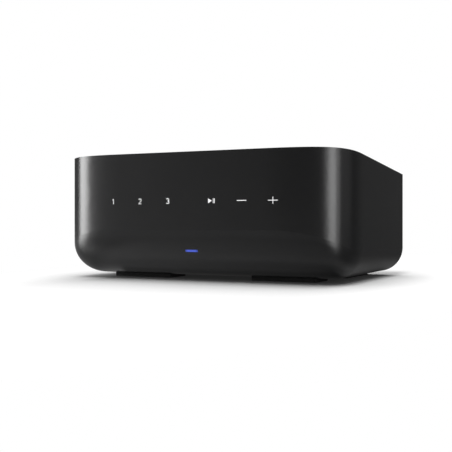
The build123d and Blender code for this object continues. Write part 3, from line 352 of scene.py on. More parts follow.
@dataclass
class Finishes:
    """Every finish on the amplifier, made once and handed to the pieces."""

    # ABS, injection moulded in a finely eroded tool: deep black with a soft, even sheen.
    shell: Finish = Finish(
        "moulded_satin_abs", "171718", 0.24, grain_mm=0.35, grain_lift_mm=0.003,
        gloss_patch_mm=30.0, gloss_spread=0.012,
    )
    # The same ABS in small mouldings, from a rougher tool: a shade duller.
    small_moulding: Finish = Finish(
        "moulded_matt_abs", "1d1d1e", 0.48, grain_mm=0.3, grain_lift_mm=0.006,
    )
    # Silicone rubber, compression moulded: flat black, takes almost no highlight.
    rubber: Finish = Finish(
        "moulded_silicone_rubber", "0e0e0e", 0.85, ior=1.41, grain_mm=0.4, grain_lift_mm=0.012,
    )
    # Sheet steel under black powder coat: a fine orange-peel that breaks up reflections. The real
    # pits are about 0.3 mm apart; they are drawn at 0.6 mm so that they show.
    powder_coat: Finish = Finish(
        "powder_coated_steel", "1c1c1e", 0.5, grain_mm=0.6, grain_lift_mm=0.02,
    )
    # Steel, zinc plated: a cool grey with a faint spangle.
    zinc: Finish = Mottled(
        "zinc_plated_steel", "8d9092", 0.36, metallic=1.0, grain_mm=0.5, second="a9acad",
        patch_mm=2.5,
    )
    # Steel screws, blackened by oxide: dark with a dull metal sheen.
    black_oxide: Finish = Finish("black_oxide_steel", "2a2a2b", 0.42, metallic=1.0, grain_mm=0.3)
    # Turned brass under bright gold plate: warm, sharp highlights and fine lathe rings.
    gold: Finish = Brushed(
        "gold_plated_brass", "e3b65c", 0.2, metallic=1.0, grain_mm=4.0, grain_lift_mm=0.01,
        along=Axis.Y,
    )
    # The same gold plate over a thread: fine even rings that catch the light.
    gold_thread: Finish = Threaded("gold_plated_thread", "e3b65c", 0.22, metallic=1.0)
    # Turned brass under bright nickel: neutral, mirror-like.
    nickel: Finish = replace(gold, name="nickel_plated_brass", colour="c9c5bc", roughness=0.18)
    # Polycarbonate, moulded and tinted: glossy, the colour sits under a clear skin.
    red_cap: Finish = Finish(
        "moulded_red_polycarbonate", "8e1414", 0.16, ior=1.58, grain_mm=0.8,
        grain_lift_mm=0.002, coat=0.4, coat_roughness=0.08,
    )
    black_cap: Finish = replace(red_cap, name="moulded_black_polycarbonate", colour="141415")
    # Nylon, moulded in natural white: slightly waxy.
    white_nylon: Finish = Finish("moulded_white_nylon", "dedcd4", 0.42, ior=1.53, grain_mm=0.4)
    red_nylon: Finish = replace(white_nylon, name="moulded_red_nylon", colour="a01c1c")
    # Acrylic light pipe, lit from behind by a blue lamp: reads as a small even glow.
    light_pipe: Finish = LitPipe(
        "lit_acrylic", "4459c6", 0.25, ior=1.49, grain_mm=1.0, grain_lift_mm=0.001, glow=0.68,
    )
    # White window ink on the keys, lit from behind by the key lamps: an even bright white.
    lit_ink: Finish = Finish(
        "backlit_window_ink", "f0f0f1", 0.55, grain_mm=0.2, grain_lift_mm=0.002, glow=0.66,
    )
    # The same window ink on the thin figures, which let the lamps through a little brighter.
    lit_figure_ink: Finish = replace(lit_ink, name="backlit_figure_ink", glow=1.25)
    # Screen-printed ink: flat and very slightly raised.
    white_ink: Finish = Finish(
        "screen_printed_ink", "d9d9da", 0.55, grain_mm=0.2, grain_lift_mm=0.002,
    )
    # Glass-fibre board under green lacquer.
    board: Finish = LaidBoard("lacquered_circuit_board", "14502c", 0.32, grain_mm=0.8, coat=0.3)
    # Moulded epoxy of chips and coils: flat dark grey.
    epoxy: Finish = Finish("moulded_epoxy", "222224", 0.6, grain_mm=0.25, grain_lift_mm=0.006)
    # Aluminium, extruded and black anodised: dark with a fine line along the die.
    black_aluminium: Finish = Brushed(
        "black_anodised_aluminium", "2b2c2e", 0.4, metallic=1.0, grain_mm=6.0,
        grain_lift_mm=0.01, along=Axis.Y,
    )
    # Aluminium sheet as rolled.
    aluminium: Finish = Brushed(
        "rolled_aluminium", "b9bbbd", 0.34, metallic=1.0, grain_mm=6.0, grain_lift_mm=0.008,
    )
    # Shrunk vinyl sleeve on capacitors: dark blue, glossy, with faint wrinkles.
    sleeve: Finish = Finish(
        "shrunk_vinyl_sleeve", "14203a", 0.22, grain_mm=3.0, grain_lift_mm=0.03, coat=0.2,
    )
    # Ferrite, pressed and sintered: charcoal with a sandy tooth.
    ferrite: Finish = Mottled(
        "sintered_ferrite", "2d2d2f", 0.66, grain_mm=0.5, grain_lift_mm=0.02, second="3b3b3d",
        patch_mm=1.5,
    )
    # Enamelled copper wire: warm brown, the turns show as fine ribs.
    copper: Finish = Brushed(
        "enamelled_copper", "a35a2c", 0.3, metallic=1.0, grain_mm=14.0, grain_lift_mm=0.12,
    )
    # Polyimide film with printed copper: amber and slightly glossy.
    film: Finish = Mottled(
        "polyimide_film", "9a6a24", 0.3, grain_mm=0.6, second="b07f35", patch_mm=4.0,
    )
    # Soft vinyl lead sleeve.
    red_lead: Finish = Finish("extruded_red_vinyl", "8a1b1b", 0.5, grain_mm=0.8, grain_lift_mm=0.01)
    # Lamp bodies: cream silicone over a white cup.
    lamp: Finish = Finish("moulded_lamp_silicone", "e8e2c4", 0.3, grain_mm=0.4)
    made: dict[str, Material] = field(default_factory=dict)

    def get(self, name: str) -> Material:
        """Makes a finish's material the first time it is asked for.

        Args:
            name: The finish's field name in this class.

        Returns:
            Its material.
        """
        if name not in self.made:
            self.made[name] = getattr(self, name).make()
        return self.made[name]


def add_item(name: str, data: bpy.types.ID) -> Item:
    """Puts an object in the scene.

    Args:
        name: Its name.
        data: Its mesh, curve, light or camera.

    Returns:
        The object.
    """
    item = bpy.data.objects.new(name, data)
    bpy.context.scene.collection.objects.link(item)
    return item


def place_mesh(
    name: str, mesh: Mesh, material: Material, body: str, smooth_deg: float | None = None
) -> Item:
    """Puts a finished mesh in the scene as a piece that rides on a body.

    Args:
        name: The piece's name.
        mesh: Its mesh, already in place.
        material: Its material.
        body: The body that carries it.
        smooth_deg: Edges flatter than this shade smoothly; None keeps flat faces.

    Returns:
        The new object.
    """
    piece = add_item(name, mesh)
    mesh.materials.clear()
    mesh.materials.append(material)
    if smooth_deg is not None:
        mesh.shade_smooth()
        mesh.set_sharp_from_angle(angle=math.radians(smooth_deg))
    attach(piece, body)
    return piece


def mesh_from(bm: Form, name: str) -> Mesh:
    """Turns a bmesh into a mesh with its doubles merged and its faces outward.

    Args:
        bm: The bmesh, which is freed.
        name: The mesh's name.

    Returns:
        The mesh.
    """
    bmesh.ops.remove_doubles(bm, verts=bm.verts, dist=SAME_CORNER)
    bmesh.ops.recalc_face_normals(bm, faces=bm.faces)
    mesh = bpy.data.meshes.new(name)
    bm.to_mesh(mesh)
    bm.free()
    return mesh


def add_slab(bm: Form, size: Point, centre: Point) -> list[bmesh.types.BMVert]:
    """Adds a box to a bmesh.

    Args:
        bm: The bmesh.
        size: Width, depth and height in metres.
        centre: Its middle in metres.

    Returns:
        Its eight corners.
    """
    made = bmesh.ops.create_cube(bm, size=1.0)["verts"]
    bmesh.ops.scale(bm, vec=size, verts=made)
    bmesh.ops.translate(bm, vec=centre, verts=made)
    return made


def mesh_of(curve: bpy.types.Curve) -> Mesh:
    """Turns a curve or text into a mesh and removes it.

    Args:
        curve: The curve.

    Returns:
        The mesh.
    """
    holder = add_item("drawn", curve)
    graph = bpy.context.evaluated_depsgraph_get()
    mesh = bpy.data.meshes.new_from_object(holder.evaluated_get(graph), depsgraph=graph)
    bpy.data.objects.remove(holder)
    bpy.data.curves.remove(curve)
    return mesh


def ends(points: list[Vector]) -> tuple[Point, Point]:
    """Gives the lowest and the highest corner of the box round some points."""
    axes = list(zip(*points))
    return tuple(min(values) for values in axes), tuple(max(values) for values in axes)


def written(words: str, height: float) -> Mesh:
    """Draws words as a thin flat mesh on the XY plane, centred on the origin.

    Args:
        words: What to write.
        height: How tall the words are drawn, in millimetres.

    Returns:
        The mesh, its back on Z 0.
    """
    curve = bpy.data.curves.new("words", "FONT")
    curve.body = words
    curve.align_x, curve.align_y = "CENTER", "CENTER"
    curve.resolution_u = 8
    curve.fill_mode = "BOTH"
    # Any thickness does here, because the mesh is scaled to the ink's.
    curve.extrude = 0.5
    mesh = mesh_of(curve)
    low, high = ends([v.co for v in mesh.vertices])
    grown = height * MM / (high[1] - low[1])
    flattened = INK * MM / (high[2] - low[2])
    middle = Vector(((low[0] + high[0]) / 2, (low[1] + high[1]) / 2, low[2]))
    scale = Matrix.Diagonal((grown, grown, flattened, 1.0))
    mesh.transform(scale @ Matrix.Translation(-middle))
    return mesh


def bars(rows: list[tuple[float, float, float, float]]) -> Mesh:
    """Draws upright rectangles on the XY plane.

    Args:
        rows: Centre X, centre Y, width and height of each, in millimetres.

    Returns:
        The mesh, its back on Z 0.
    """
    bm = bmesh.new()
    for x, y, width, height in rows:
        add_slab(bm, (width * MM, height * MM, INK * MM), (x * MM, y * MM, INK / 2 * MM))
    return mesh_from(bm, "bars")


def cross(width: float, height: float, arm: float) -> Mesh:
    """Draws a plus sign as five blocks side by side, so that its arms don't cut each other.

    Args:
        width: Its width in millimetres.
        height: Its height in millimetres.
        arm: How thick its arms are drawn, in millimetres.

    Returns:
        The mesh, its back on Z 0.
    """
    side, rise = (width - arm) / 2, (height - arm) / 2
    across, up = (arm + side) / 2, (arm + rise) / 2
    rows = [(0.0, 0.0, arm, arm)]
    for way in (-1, 1):
        rows += [(way * across, 0.0, side, arm), (0.0, way * up, arm, rise)]
    return bars(rows)


def arc(middle: float, size: Pair, turn: Pair, steps: int = 12) -> list[Pair]:
    """Lays points round part of an upright oval.

    Args:
        middle: The height of the oval's centre, in millimetres.
        size: Its half width and half height, in millimetres.
        turn: Where the arc starts and ends, in degrees from the right, anticlockwise.
        steps: How many straight runs it has.

    Returns:
        The points.
    """
    start, end = turn
    angles = [math.radians(start + (end - start) * i / steps) for i in range(steps + 1)]
    return [(size[0] * math.cos(a), middle + size[1] * math.sin(a)) for a in angles]


def pen_line(points: list[Pair], stroke: float, closed: bool = False) -> Mesh:
    """Draws one pen stroke of even width on the XY plane.

    Args:
        points: The points that it runs through, in millimetres.
        stroke: Its width in millimetres.
        closed: Whether the stroke ends where it starts.

    Returns:
        The mesh, its back on Z 0.
    """
    curve = bpy.data.curves.new("stroke", "CURVE")
    curve.dimensions = "3D"
    curve.bevel_depth = stroke / 2 * MM
    curve.bevel_resolution = 1
    curve.use_fill_caps = not closed
    line = curve.splines.new("POLY")
    line.points.add(len(points) - 1)
    line.use_cyclic_u = closed
    for point, (x, y) in zip(line.points, points):
        point.co = (x * MM, y * MM, 0.0, 1.0)
    mesh = mesh_of(curve)
    mesh.transform(Matrix.Diagonal((1.0, 1.0, INK / stroke, 1.0)))
    mesh.transform(Matrix.Translation((0.0, 0.0, INK / 2 * MM)))
    bm = bmesh.new()
    bm.from_mesh(mesh)
    return mesh_from(bm, "stroke")


def add_plate(bm: Form, corners: list[Pair]) -> None:
    """Adds a flat patch of ink with a given outline, its back on Z 0.

    Args:
        bm: The bmesh.
        corners: The outline's corners in millimetres, anticlockwise.
    """
    face = bm.faces.new([bm.verts.new((x * MM, y * MM, 0)) for x, y in corners])
    top = bmesh.ops.extrude_face_region(bm, geom=[face])["geom"]
    moved = [v for v in top if isinstance(v, bmesh.types.BMVert)]
    bmesh.ops.translate(bm, vec=(0, 0, INK * MM), verts=moved)


def print_mark(name: str, mesh: Mesh, side: Facing, at: Point, material: Material) -> Item:
    """Prints a mark drawn on the XY plane on one side of the amplifier.

    Args:
        name: The piece's name.
        mesh: The mark, its back on Z 0.
        side: The side that it is read from.
        at: Where its middle goes, in millimetres.
        material: Its ink.

    Returns:
        The new object.
    """
    mesh.transform(Matrix.Translation([value * MM for value in at]) @ side.turn())
    return place_mesh(name, mesh, material, "amplifier")


def box_mm(node: str) -> tuple[Point, Point]:
    """Gives a solid's lowest and highest corner in millimetres."""
    low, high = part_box(node)
    return tuple(v / MM for v in low), tuple(v / MM for v in high)


def middle_mm(node: str) -> Point:
    """Gives the middle of a solid's box in millimetres."""
    low, high = box_mm(node)
    return tuple((a + b) / 2 for a, b in zip(low, high))


@dataclass
class KeyMarks:
    """The row of backlit key symbols on the front wall, over the windows of the light frame."""

    finishes: Finishes
    pitch: float = 20.3
    middle_gap: float = 30.9
    digit_height: float = 3.4
    digit_width: float = 2.5
    digit_stroke: float = 0.3
    one_stroke: float = 0.38
    one_stem_x: float = 0.15
    one_flag: Pair = (-0.65, 0.95)
    two_turn: Pair = (160.0, -38.0)
    three_upper_turn: Pair = (150.0, -90.0)
    three_lower_turn: Pair = (90.0, -150.0)
    upper_share: float = 0.92
    play_width: float = 4.5
    play_height: float = 2.9
    triangle_width: float = 2.5
    bar_width: float = 0.4
    bar_gap: float = 0.42
    minus_width: float = 6.3
    minus_height: float = 0.46
    plus_width: float = 6.2
    plus_height: float = 4.05
    plus_arm: float = 0.41
    sign_drop: float = 0.15
    plus_drop: float = 0.25

    def digits(self) -> dict[str, Mesh]:
        """Draws the figures 1, 2 and 3.

        Returns:
            Their meshes by name, each with its back on Z 0.
        """
        top = (self.digit_height - self.digit_stroke) / 2
        side = (self.digit_width - self.digit_stroke) / 2
        bowl = top / 2
        upper = (side * self.upper_share, bowl)
        one = [(self.one_stem_x, -top), (self.one_stem_x, top), self.one_flag]
        two = arc(bowl, upper, self.two_turn) + [(-side, -top), (side, -top)]
        three_top = arc(bowl, upper, self.three_upper_turn)
        three_low = arc(-bowl, (side, bowl), self.three_lower_turn)
        return {
            "one": pen_line(one, self.one_stroke),
            "two": pen_line(two, self.digit_stroke),
            "three": pen_line(three_top + three_low[1:], self.digit_stroke),
        }

    def play(self) -> Mesh:
        """Draws the play triangle and the two pause bars beside it.

        Returns:
            The mesh, its back on Z 0.
        """
        bm = bmesh.new()
        half = self.play_height / 2
        start = -self.play_width / 2
        tip = start + self.triangle_width
        add_plate(bm, [(start, -half), (tip, 0), (start, half)])
        last = self.play_width / 2 - self.bar_width / 2
        for x in (last - self.bar_width - self.bar_gap, last):
            size = (self.bar_width * MM, self.play_height * MM, INK * MM)
            add_slab(bm, size, (x * MM, 0, INK / 2 * MM))
        return mesh_from(bm, "play")

    def build(self) -> list[Item]:
        """Prints all six marks.

        Returns:
            The pieces.
        """
        minus = bars([(0, 0, self.minus_width, self.minus_height)])
        plus = cross(self.plus_width, self.plus_height, self.plus_arm)
        rows = [(name, mesh, "lit_figure_ink", 0.0) for name, mesh in self.digits().items()]
        rows += [
            ("play_pause", self.play(), "lit_ink", self.sign_drop),
            ("minus", minus, "lit_ink", self.sign_drop),
            ("plus", plus, "lit_ink", self.plus_drop),
        ]
        half_row = [self.middle_gap / 2 + step * self.pitch for step in range(3)]
        xs = [-x for x in reversed(half_row)] + half_row
        (_, front_y, _), _ = box_mm("housing")
        _, _, keys_z = middle_mm("light_frame")
        pieces = []
        for (name, mesh, ink, drop), x in zip(rows, xs):
            at = (x, front_y, keys_z - drop)
            material = self.finishes.get(ink)
            pieces.append(print_mark(f"key_mark_{name}", mesh, Facing.FRONT, at, material))
        return pieces


@dataclass
class RearMarks:
    """Plain printed letters and signs that tell the rear sockets apart."""

    finishes: Finishes
    letter: float = 2.6
    sign: float = 3.2
    arm: float = 0.6
    clear: float = 2.9

    def build(self) -> list[Item]:
        """Prints the channel letters, the pole signs and the names of the phono pairs.

        Returns:
            The pieces.
        """
        left_x, _, plus_z = middle_mm("cap_left_plus")
        right_x, _, _ = middle_mm("cap_right_plus")
        _, _, minus_z = middle_mm("cap_left_minus")
        phono_x, _, _ = middle_mm("phono_block")
        (_, _, phono_low), (_, _, phono_top) = box_mm("phono_block")
        _, (_, plate_y, plate_top) = box_mm("terminal_plate")
        _, (_, panel_y, _) = box_mm("rear_panel")
        between = (left_x + right_x) / 2
        letters_z = plate_top + self.clear
        left, right, into, out = (
            written(words, self.letter) for words in ("L", "R", "IN", "OUT")
        )
        plus = cross(self.sign, self.sign, self.arm)
        minus = bars([(0, 0, self.sign, self.arm)])
        rows = (
            ("channel_left", left, (left_x, panel_y, letters_z)),
            ("channel_right", right, (right_x, panel_y, letters_z)),
            ("pole_plus", plus, (between, plate_y, plus_z)),
            ("pole_minus", minus, (between, plate_y, minus_z)),
            ("phono_in", into, (phono_x, panel_y, phono_top + self.clear)),
            ("phono_out", out, (phono_x, panel_y, phono_low - self.clear)),
        )
        ink = self.finishes.get("white_ink")
        return [
            print_mark(f"rear_mark_{name}", mesh, Facing.REAR, at, ink) for name, mesh, at in rows
        ]


@dataclass
class RockerMarks:
    """The on and off signs on the two halves of the mains rocker."""

    finishes: Finishes
    height: float = 3.0
    stroke: float = 0.5
    from_middle: float = 4.8
    ring_corners: int = 24

    def build(self) -> list[Item]:
        """Prints both signs square to the sloping faces that they are on.

        Returns:
            The pieces, which turn with the rocker.
        """
        low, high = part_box("power_rocker")
        rocker = bmesh.new()
        rocker.from_mesh(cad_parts["power_rocker"].data)
        surface = BVHTree.FromBMesh(rocker)
        rocker.free()
        radius = self.height / 2
        last = 360.0 - 360.0 / self.ring_corners
        ring = arc(0.0, (radius, radius), (0.0, last), self.ring_corners - 1)
        signs = (
            ("on", bars([(0, 0, self.stroke, self.height)]), self.from_middle),
            ("off", pen_line(ring, self.stroke, closed=True), -self.from_middle),
        )
        across = Vector((-1.0, 0.0, 0.0))
        material = self.finishes.get("white_ink")
        pieces = []
        for name, mesh, rise in signs:
            behind = Vector(
                ((low[0] + high[0]) / 2, high[1] + MM, (low[2] + high[2]) / 2 + rise * MM)
            )
            spot, normal, _, _ = surface.ray_cast(behind, Vector((0.0, -1.0, 0.0)))
            turn = Matrix((across, normal.cross(across), normal)).transposed().to_4x4()
            mesh.transform(Matrix.Translation(spot) @ turn)
            pieces.append(
                place_mesh(f"rocker_mark_{name}", mesh, material, "power_rocker")
            )
        return pieces


@dataclass
class Feet:
    """Four rubber pads with softened edges, in place of the plain ones."""

    finishes: Finishes
    corner_mm: float = 1.2
    corner_segments: int = 6
    edge_mm: float = 0.45
    edge_segments: int = 3
    wall_rise: float = 0.5
    smooth_deg: float = 40.0

    def build(self) -> Item:
        """Makes the pads where the solids are.

        Returns:
            One piece with all four pads.
        """
        bm = bmesh.new()
        for low, high in self.islands(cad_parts["feet"].data):
            size = tuple(b - a for a, b in zip(low, high))
            centre = tuple((a + b) / 2 for a, b in zip(low, high))
            upright = dict.fromkeys(
                e
                for v in add_slab(bm, size, centre)
                for e in v.link_edges
                if abs(e.verts[0].co.z - e.verts[1].co.z) > SAME_HEIGHT
            )
            self.soften(bm, list(upright), self.corner_mm, self.corner_segments)
        # The rim is where a wall, whose normal is nearly level, meets the floor.
        rim = [
            e
            for e in bm.edges
            if all(v.co.z < SAME_HEIGHT for v in e.verts)
            and any(abs(f.normal.z) < self.wall_rise for f in e.link_faces)
        ]
        self.soften(bm, rim, self.edge_mm, self.edge_segments)
        mesh = mesh_from(bm, "foot_pads")
        rubber = self.finishes.get("rubber")
        piece = place_mesh("foot_pads", mesh, rubber, "amplifier", self.smooth_deg)
        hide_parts("feet")
        return piece

    def soften(
        self, bm: Form, edges: list[bmesh.types.BMEdge], width: float, segments: int
    ) -> None:
        """Rounds edges off.

        Args:
            bm: The bmesh.
            edges: Its edges to round.
            width: How far from the edge the round starts, in millimetres.
            segments: How many faces the round has.
        """
        bmesh.ops.bevel(
            bm, geom=edges, offset=width * MM, offset_type="OFFSET", segments=segments,
            profile=0.5, affect="EDGES", material=-1,
        )

    def islands(self, mesh: Mesh) -> list[tuple[Point, Point]]:
        """Finds the box of each separate pad by the quarter of the plan that it stands in.

        Args:
            mesh: The solids' mesh.

        Returns:
            The lowest and highest corner of each, in metres.
        """
        quarters: dict[tuple[bool, bool], list[Vector]] = {}
        middle_y = sum(v.co.y for v in mesh.vertices) / len(mesh.vertices)
        for vertex in mesh.vertices:
            key = (vertex.co.x > 0, vertex.co.y > middle_y)
            quarters.setdefault(key, []).append(vertex.co)
        return [ends(points) for points in quarters.values()]


@dataclass(frozen=True)
class Grade:
    """A value that changes smoothly along one direction."""

    towards: Point
    span: Pair
    values: Pair = (0.0, 1.0)

    def lay(self, tree: Tree, place: Socket) -> Socket:
        """Grades the value over the floor or the sky.

        Args:
            tree: The node tree.
            place: The coordinates.

        Returns:
            The graded value.
        """
        product = {"operation": "DOT_PRODUCT", 1: self.towards}
        facing = add_node(tree, "ShaderNodeVectorMath", product, {0: place})
        settings = dict(zip(RANGE_ENDS, self.span + self.values), interpolation_type="SMOOTHSTEP")
        grade = add_node(tree, "ShaderNodeMapRange", settings, {"Value": facing.outputs["Value"]})
        return grade.outputs["Result"]


@dataclass(frozen=True)
class Falloff:
    """A grey by the distance from the amplifier: distances in metres, each with its grey."""

    stops: tuple[Pair, ...]

    def lay(self, tree: Tree, distance: Socket) -> Socket:
        """Looks the grey up.

        Args:
            tree: The node tree.
            distance: The distance in metres.

        Returns:
            The grey.
        """
        reach = self.stops[-1][0]
        share = add_node(tree, "ShaderNodeMapRange", {"From Max": reach}, {"Value": distance})
        ramp = add_node(tree, "ShaderNodeValToRGB", links={"Fac": share.outputs["Result"]})
        elements = ramp.color_ramp.elements
        for _ in self.stops[2:]:
            elements.new(1.0)
        for element, (at, grey) in zip(elements, self.stops):
            element.position = at / reach
            element.color = (grey, grey, grey, 1.0)
        return ramp.outputs["Color"]


@dataclass(frozen=True)
class PaintedStreak:
    """A narrow fan of painted light on the floor, from a corner of the amplifier towards a tall
    lamp, which the amplifier mirrors as a painted reflection of the lamp.
    """

    start: Point
    towards: Point
    strength: float
    # The cosine where the fan ends, and the distances between which it grows to full strength.
    edge: float = 0.95
    reach: Pair = (0.01, 0.12)

    def lay(self, tree: Tree, place: Socket) -> Socket:
        """Paints light on the floor inside the fan.

        Args:
            tree: The floor's node tree.
            place: The object coordinates.

        Returns:
            The brightness.
        """
        away = {"operation": "SUBTRACT", 1: self.start}
        offset = add_node(tree, "ShaderNodeVectorMath", away, {0: place}).outputs["Vector"]
        unit = add_node(tree, "ShaderNodeVectorMath", {"operation": "NORMALIZE"}, {0: offset})
        across = Grade(self.towards, (self.edge, 1.0), (0.0, self.strength))
        along = Grade(self.towards, self.reach)
        factors = {0: across.lay(tree, unit.outputs["Vector"]), 1: along.lay(tree, offset)}
        product = add_node(tree, "ShaderNodeMath", {"operation": "MULTIPLY"}, factors)
        return product.outputs["Value"]


@dataclass(frozen=True)
class Lamp:
    """A soft rectangular light, in metres. Without lights_matt only glossy surfaces show it."""

    name: str
    at: Point
    towards: Point
    size: Pair
    watts: float
    lights_matt: bool = True

    def hang(self) -> None:
        """Hangs the lamp, facing its target and out of the camera's sight."""
        data = bpy.data.lights.new(self.name, "AREA")
        data.shape = "RECTANGLE"
        data.size, data.size_y = self.size
        data.energy = self.watts
        lamp = add_item(self.name, data)
        lamp.location = self.at
        aim = Vector(self.towards) - Vector(self.at)
        lamp.rotation_euler = aim.to_track_quat("-Z", "Y").to_euler()
        lamp.visible_camera = False
        lamp.visible_diffuse = self.lights_matt


def summed(tree: Tree, values: list[Socket]) -> Socket:
    """Adds up what several lights or tones give.

    Args:
        tree: The node tree.
        values: The values to add.

    Returns:
        Their sum.
    """
    total = values[0]
    for value in values[1:]:
        node = add_node(tree, "ShaderNodeMath", {"operation": "ADD"}, {0: total, 1: value})
        total = node.outputs["Value"]
    return total


@dataclass
class Studio:
    """The pale floor, the soft lights and the camera, with places and distances in metres."""

    floor_half: float = 1.6
    footprint_centre: Point = (0.012, 0.005, 0.0)
    footprint_half: Point = (0.074, 0.047, 0.0)
    side_stretch: Point = (3.5, 1.0, 1.0)
    # The paper as the camera sees it: a painted contact shadow that greys it near the amplifier, a
    # painted glow that lightens that shadow, and where it fades to plain white.
    painted_contact_shadow: Falloff = Falloff((
        (0.0, 0.45), (0.015, 0.45), (0.025, 0.45), (0.04, 0.6), (0.055, 0.72), (0.1, 0.78),
        (0.14, 0.86), (0.22, 1.0),
    ))
    painted_shadow_glow: Falloff = Falloff(((0.0, 0.014), (0.015, 0.02), (0.03, 0.04), (0.05, 0.07), (0.22, 0.07)))
    fade: Pair = (0.06, 0.34)
    paper_grain_mm: float = 2.5
    paper_lift_mm: float = 0.1
    paper_lift_share: float = 0.2
    # The paper as the amplifier mirrors it: painted shade that darkens it near and below the
    # amplifier, a painted light that makes its left side lighter than its right, and painted
    # streaks of light.
    mirrored_painted_shade: Falloff = Falloff((
        (0.0, 0.24), (0.006, 0.27), (0.01, 0.4), (0.015, 0.85), (0.021, 1.0), (0.045, 1.0),
        (0.09, 0.55), (0.3, 0.5),
    ))
    mirrored_painted_side_light: Grade = Grade((0.75, 0.66, 0.0), (-0.25, 0.2), (0.4, 0.03))
    mirrored_roughness: float = 0.3
    mirrored_ior: float = 1.7
    # Painted streaks of light that the amplifier mirrors as painted reflections of the tall lamps.
    painted_streaks: tuple[PaintedStreak, ...] = (
        PaintedStreak((-0.09, -0.06, 0.0), (-0.919, -0.395, 0.0), 2.5),
        PaintedStreak((0.093, -0.06, 0.0), (0.749, -0.663, 0.0), 1.2),
    )
    # The room, from front to back, and its soft glows on the left and the right.
    room: tuple[Grade, ...] = (
        Grade((0.342, 0.94, 0.0), (0.0, 1.0), (0.145, 0.09)),
        Grade((-0.766, -0.643, 0.0), (0.85, 1.0), (0.0, 0.35)),
        Grade((1.0, 0.0, 0.0), (0.7, 1.0), (0.0, 0.36)),
    )
    lamps: tuple[Lamp, ...] = (
        Lamp("overhead", (0.1, 0.4, 1.9), (0.1, 0.2, 0.0), (3.2, 3.2), 80.0),
        Lamp("left_tall", (-1.011, -0.456, 0.42), (-0.093, -0.06, 0.42), (0.36, 0.84), 10.0, False),
        Lamp("right_core", (0.842, -0.723, 0.42), (0.093, -0.06, 0.42), (0.4, 0.84), 4.0, False),
        Lamp("right_halo", (0.87, -0.68, 0.42), (0.093, -0.06, 0.42), (0.9, 0.84), 4.6, False),
    )
    camera_at: Point = (0.2504, -0.5170, 0.0376)
    camera_yaw: float = 0.468
    lens_mm: float = 66.13
    sensor_mm: float = 36.0
    shift_up: float = -0.0115
    sight: float = 50.0

    def off_footprint(self, tree: Tree, place: Socket) -> Socket:
        """Measures how far a place on the floor lies outside the amplifier's flat underside.

        Sideways distances count for more, because the sides' rounding is the tighter one.

        Args:
            tree: The node tree.
            place: The coordinates.

        Returns:
            The distance in metres, which is 0 under the amplifier.
        """
        steps = (
            {"operation": "SUBTRACT", 1: self.footprint_centre},
            {"operation": "ABSOLUTE"},
            {"operation": "SUBTRACT", 1: self.footprint_half},
            {"operation": "MAXIMUM", 1: (0.0, 0.0, 0.0)},
            {"operation": "MULTIPLY", 1: self.side_stretch},
        )
        for step in steps:
            place = add_node(tree, "ShaderNodeVectorMath", step, {0: place}).outputs["Vector"]
        length = add_node(tree, "ShaderNodeVectorMath", {"operation": "LENGTH"}, {0: place})
        return length.outputs["Value"]

    def seen_paper(self, tree: Tree, place: Socket, distance: Socket) -> Socket:
        """Shades the paper as the camera sees it: a soft shadow, cast partly by the lamps and
        partly painted into its grey, lightened by a painted glow, that fades to plain white.

        Args:
            tree: The floor's node tree.
            place: The object coordinates.
            distance: The distance from the amplifier.

        Returns:
            The shader.
        """
        pores = {"Scale": 1 / (self.paper_grain_mm * MM), "Detail": 2.0}
        noise = add_node(tree, "ShaderNodeTexNoise", pores, {"Vector": place})
        lift = {"Strength": self.paper_lift_share, "Distance": self.paper_lift_mm * MM}
        bump = add_node(tree, "ShaderNodeBump", lift, {"Height": noise.outputs["Fac"]})
        # The paper's grey is a painted contact shadow, darkest next to the amplifier.
        skin = {"Color": self.painted_contact_shadow.lay(tree, distance), "Normal": bump.outputs["Normal"]}
        matt = add_node(tree, "ShaderNodeBsdfDiffuse", links=skin)
        # An emission on the paper: a painted glow that lightens the shadow near the amplifier.
        painted_shadow_glow = add_node(
            tree, "ShaderNodeEmission", links={"Strength": self.painted_shadow_glow.lay(tree, distance)}
        )
        both = {0: matt.outputs["BSDF"], 1: painted_shadow_glow.outputs["Emission"]}
        lifted = add_node(tree, "ShaderNodeAddShader", links=both)
        white = add_node(tree, "ShaderNodeEmission", {"Strength": 1.0})
        fade = dict(zip(RANGE_ENDS, self.fade))
        far = add_node(tree, "ShaderNodeMapRange", fade, {"Value": distance})
        faded = {
            "Fac": far.outputs["Result"],
            1: lifted.outputs["Shader"],
            2: white.outputs["Emission"],
        }
        return add_node(tree, "ShaderNodeMixShader", links=faded).outputs["Shader"]

    def mirrored_paper(self, tree: Tree, place: Socket, distance: Socket) -> Socket:
        """Shades the paper as the amplifier mirrors it: a painted tone, lighter on the left and
        darkened by painted shade near and below the amplifier, which also glows as painted light
        with the painted streaks.

        Args:
            tree: The floor's node tree.
            place: The object coordinates.
            distance: The distance from the amplifier.

        Returns:
            The shader.
        """
        # Painted light and shade: a lighter left side, and a dark patch near and below the
        # amplifier.
        tones = {0: self.mirrored_painted_side_light.lay(tree, place), 1: self.mirrored_painted_shade.lay(tree, distance)}
        product = add_node(tree, "ShaderNodeMath", {"operation": "MULTIPLY"}, tones)
        painted_tone = product.outputs["Value"]
        gloss = {"Roughness": self.mirrored_roughness, "IOR": self.mirrored_ior}
        sheen = add_node(tree, "ShaderNodeBsdfPrincipled", gloss, {"Base Color": painted_tone})
        # The paper glows with the painted tone and the painted streaks, so the amplifier mirrors
        # painted light.
        total = summed(tree, [painted_tone] + [streak.lay(tree, place) for streak in self.painted_streaks])
        glow = add_node(tree, "ShaderNodeEmission", links={"Strength": total})
        both = {0: sheen.outputs["BSDF"], 1: glow.outputs["Emission"]}
        return add_node(tree, "ShaderNodeAddShader", links=both).outputs["Shader"]

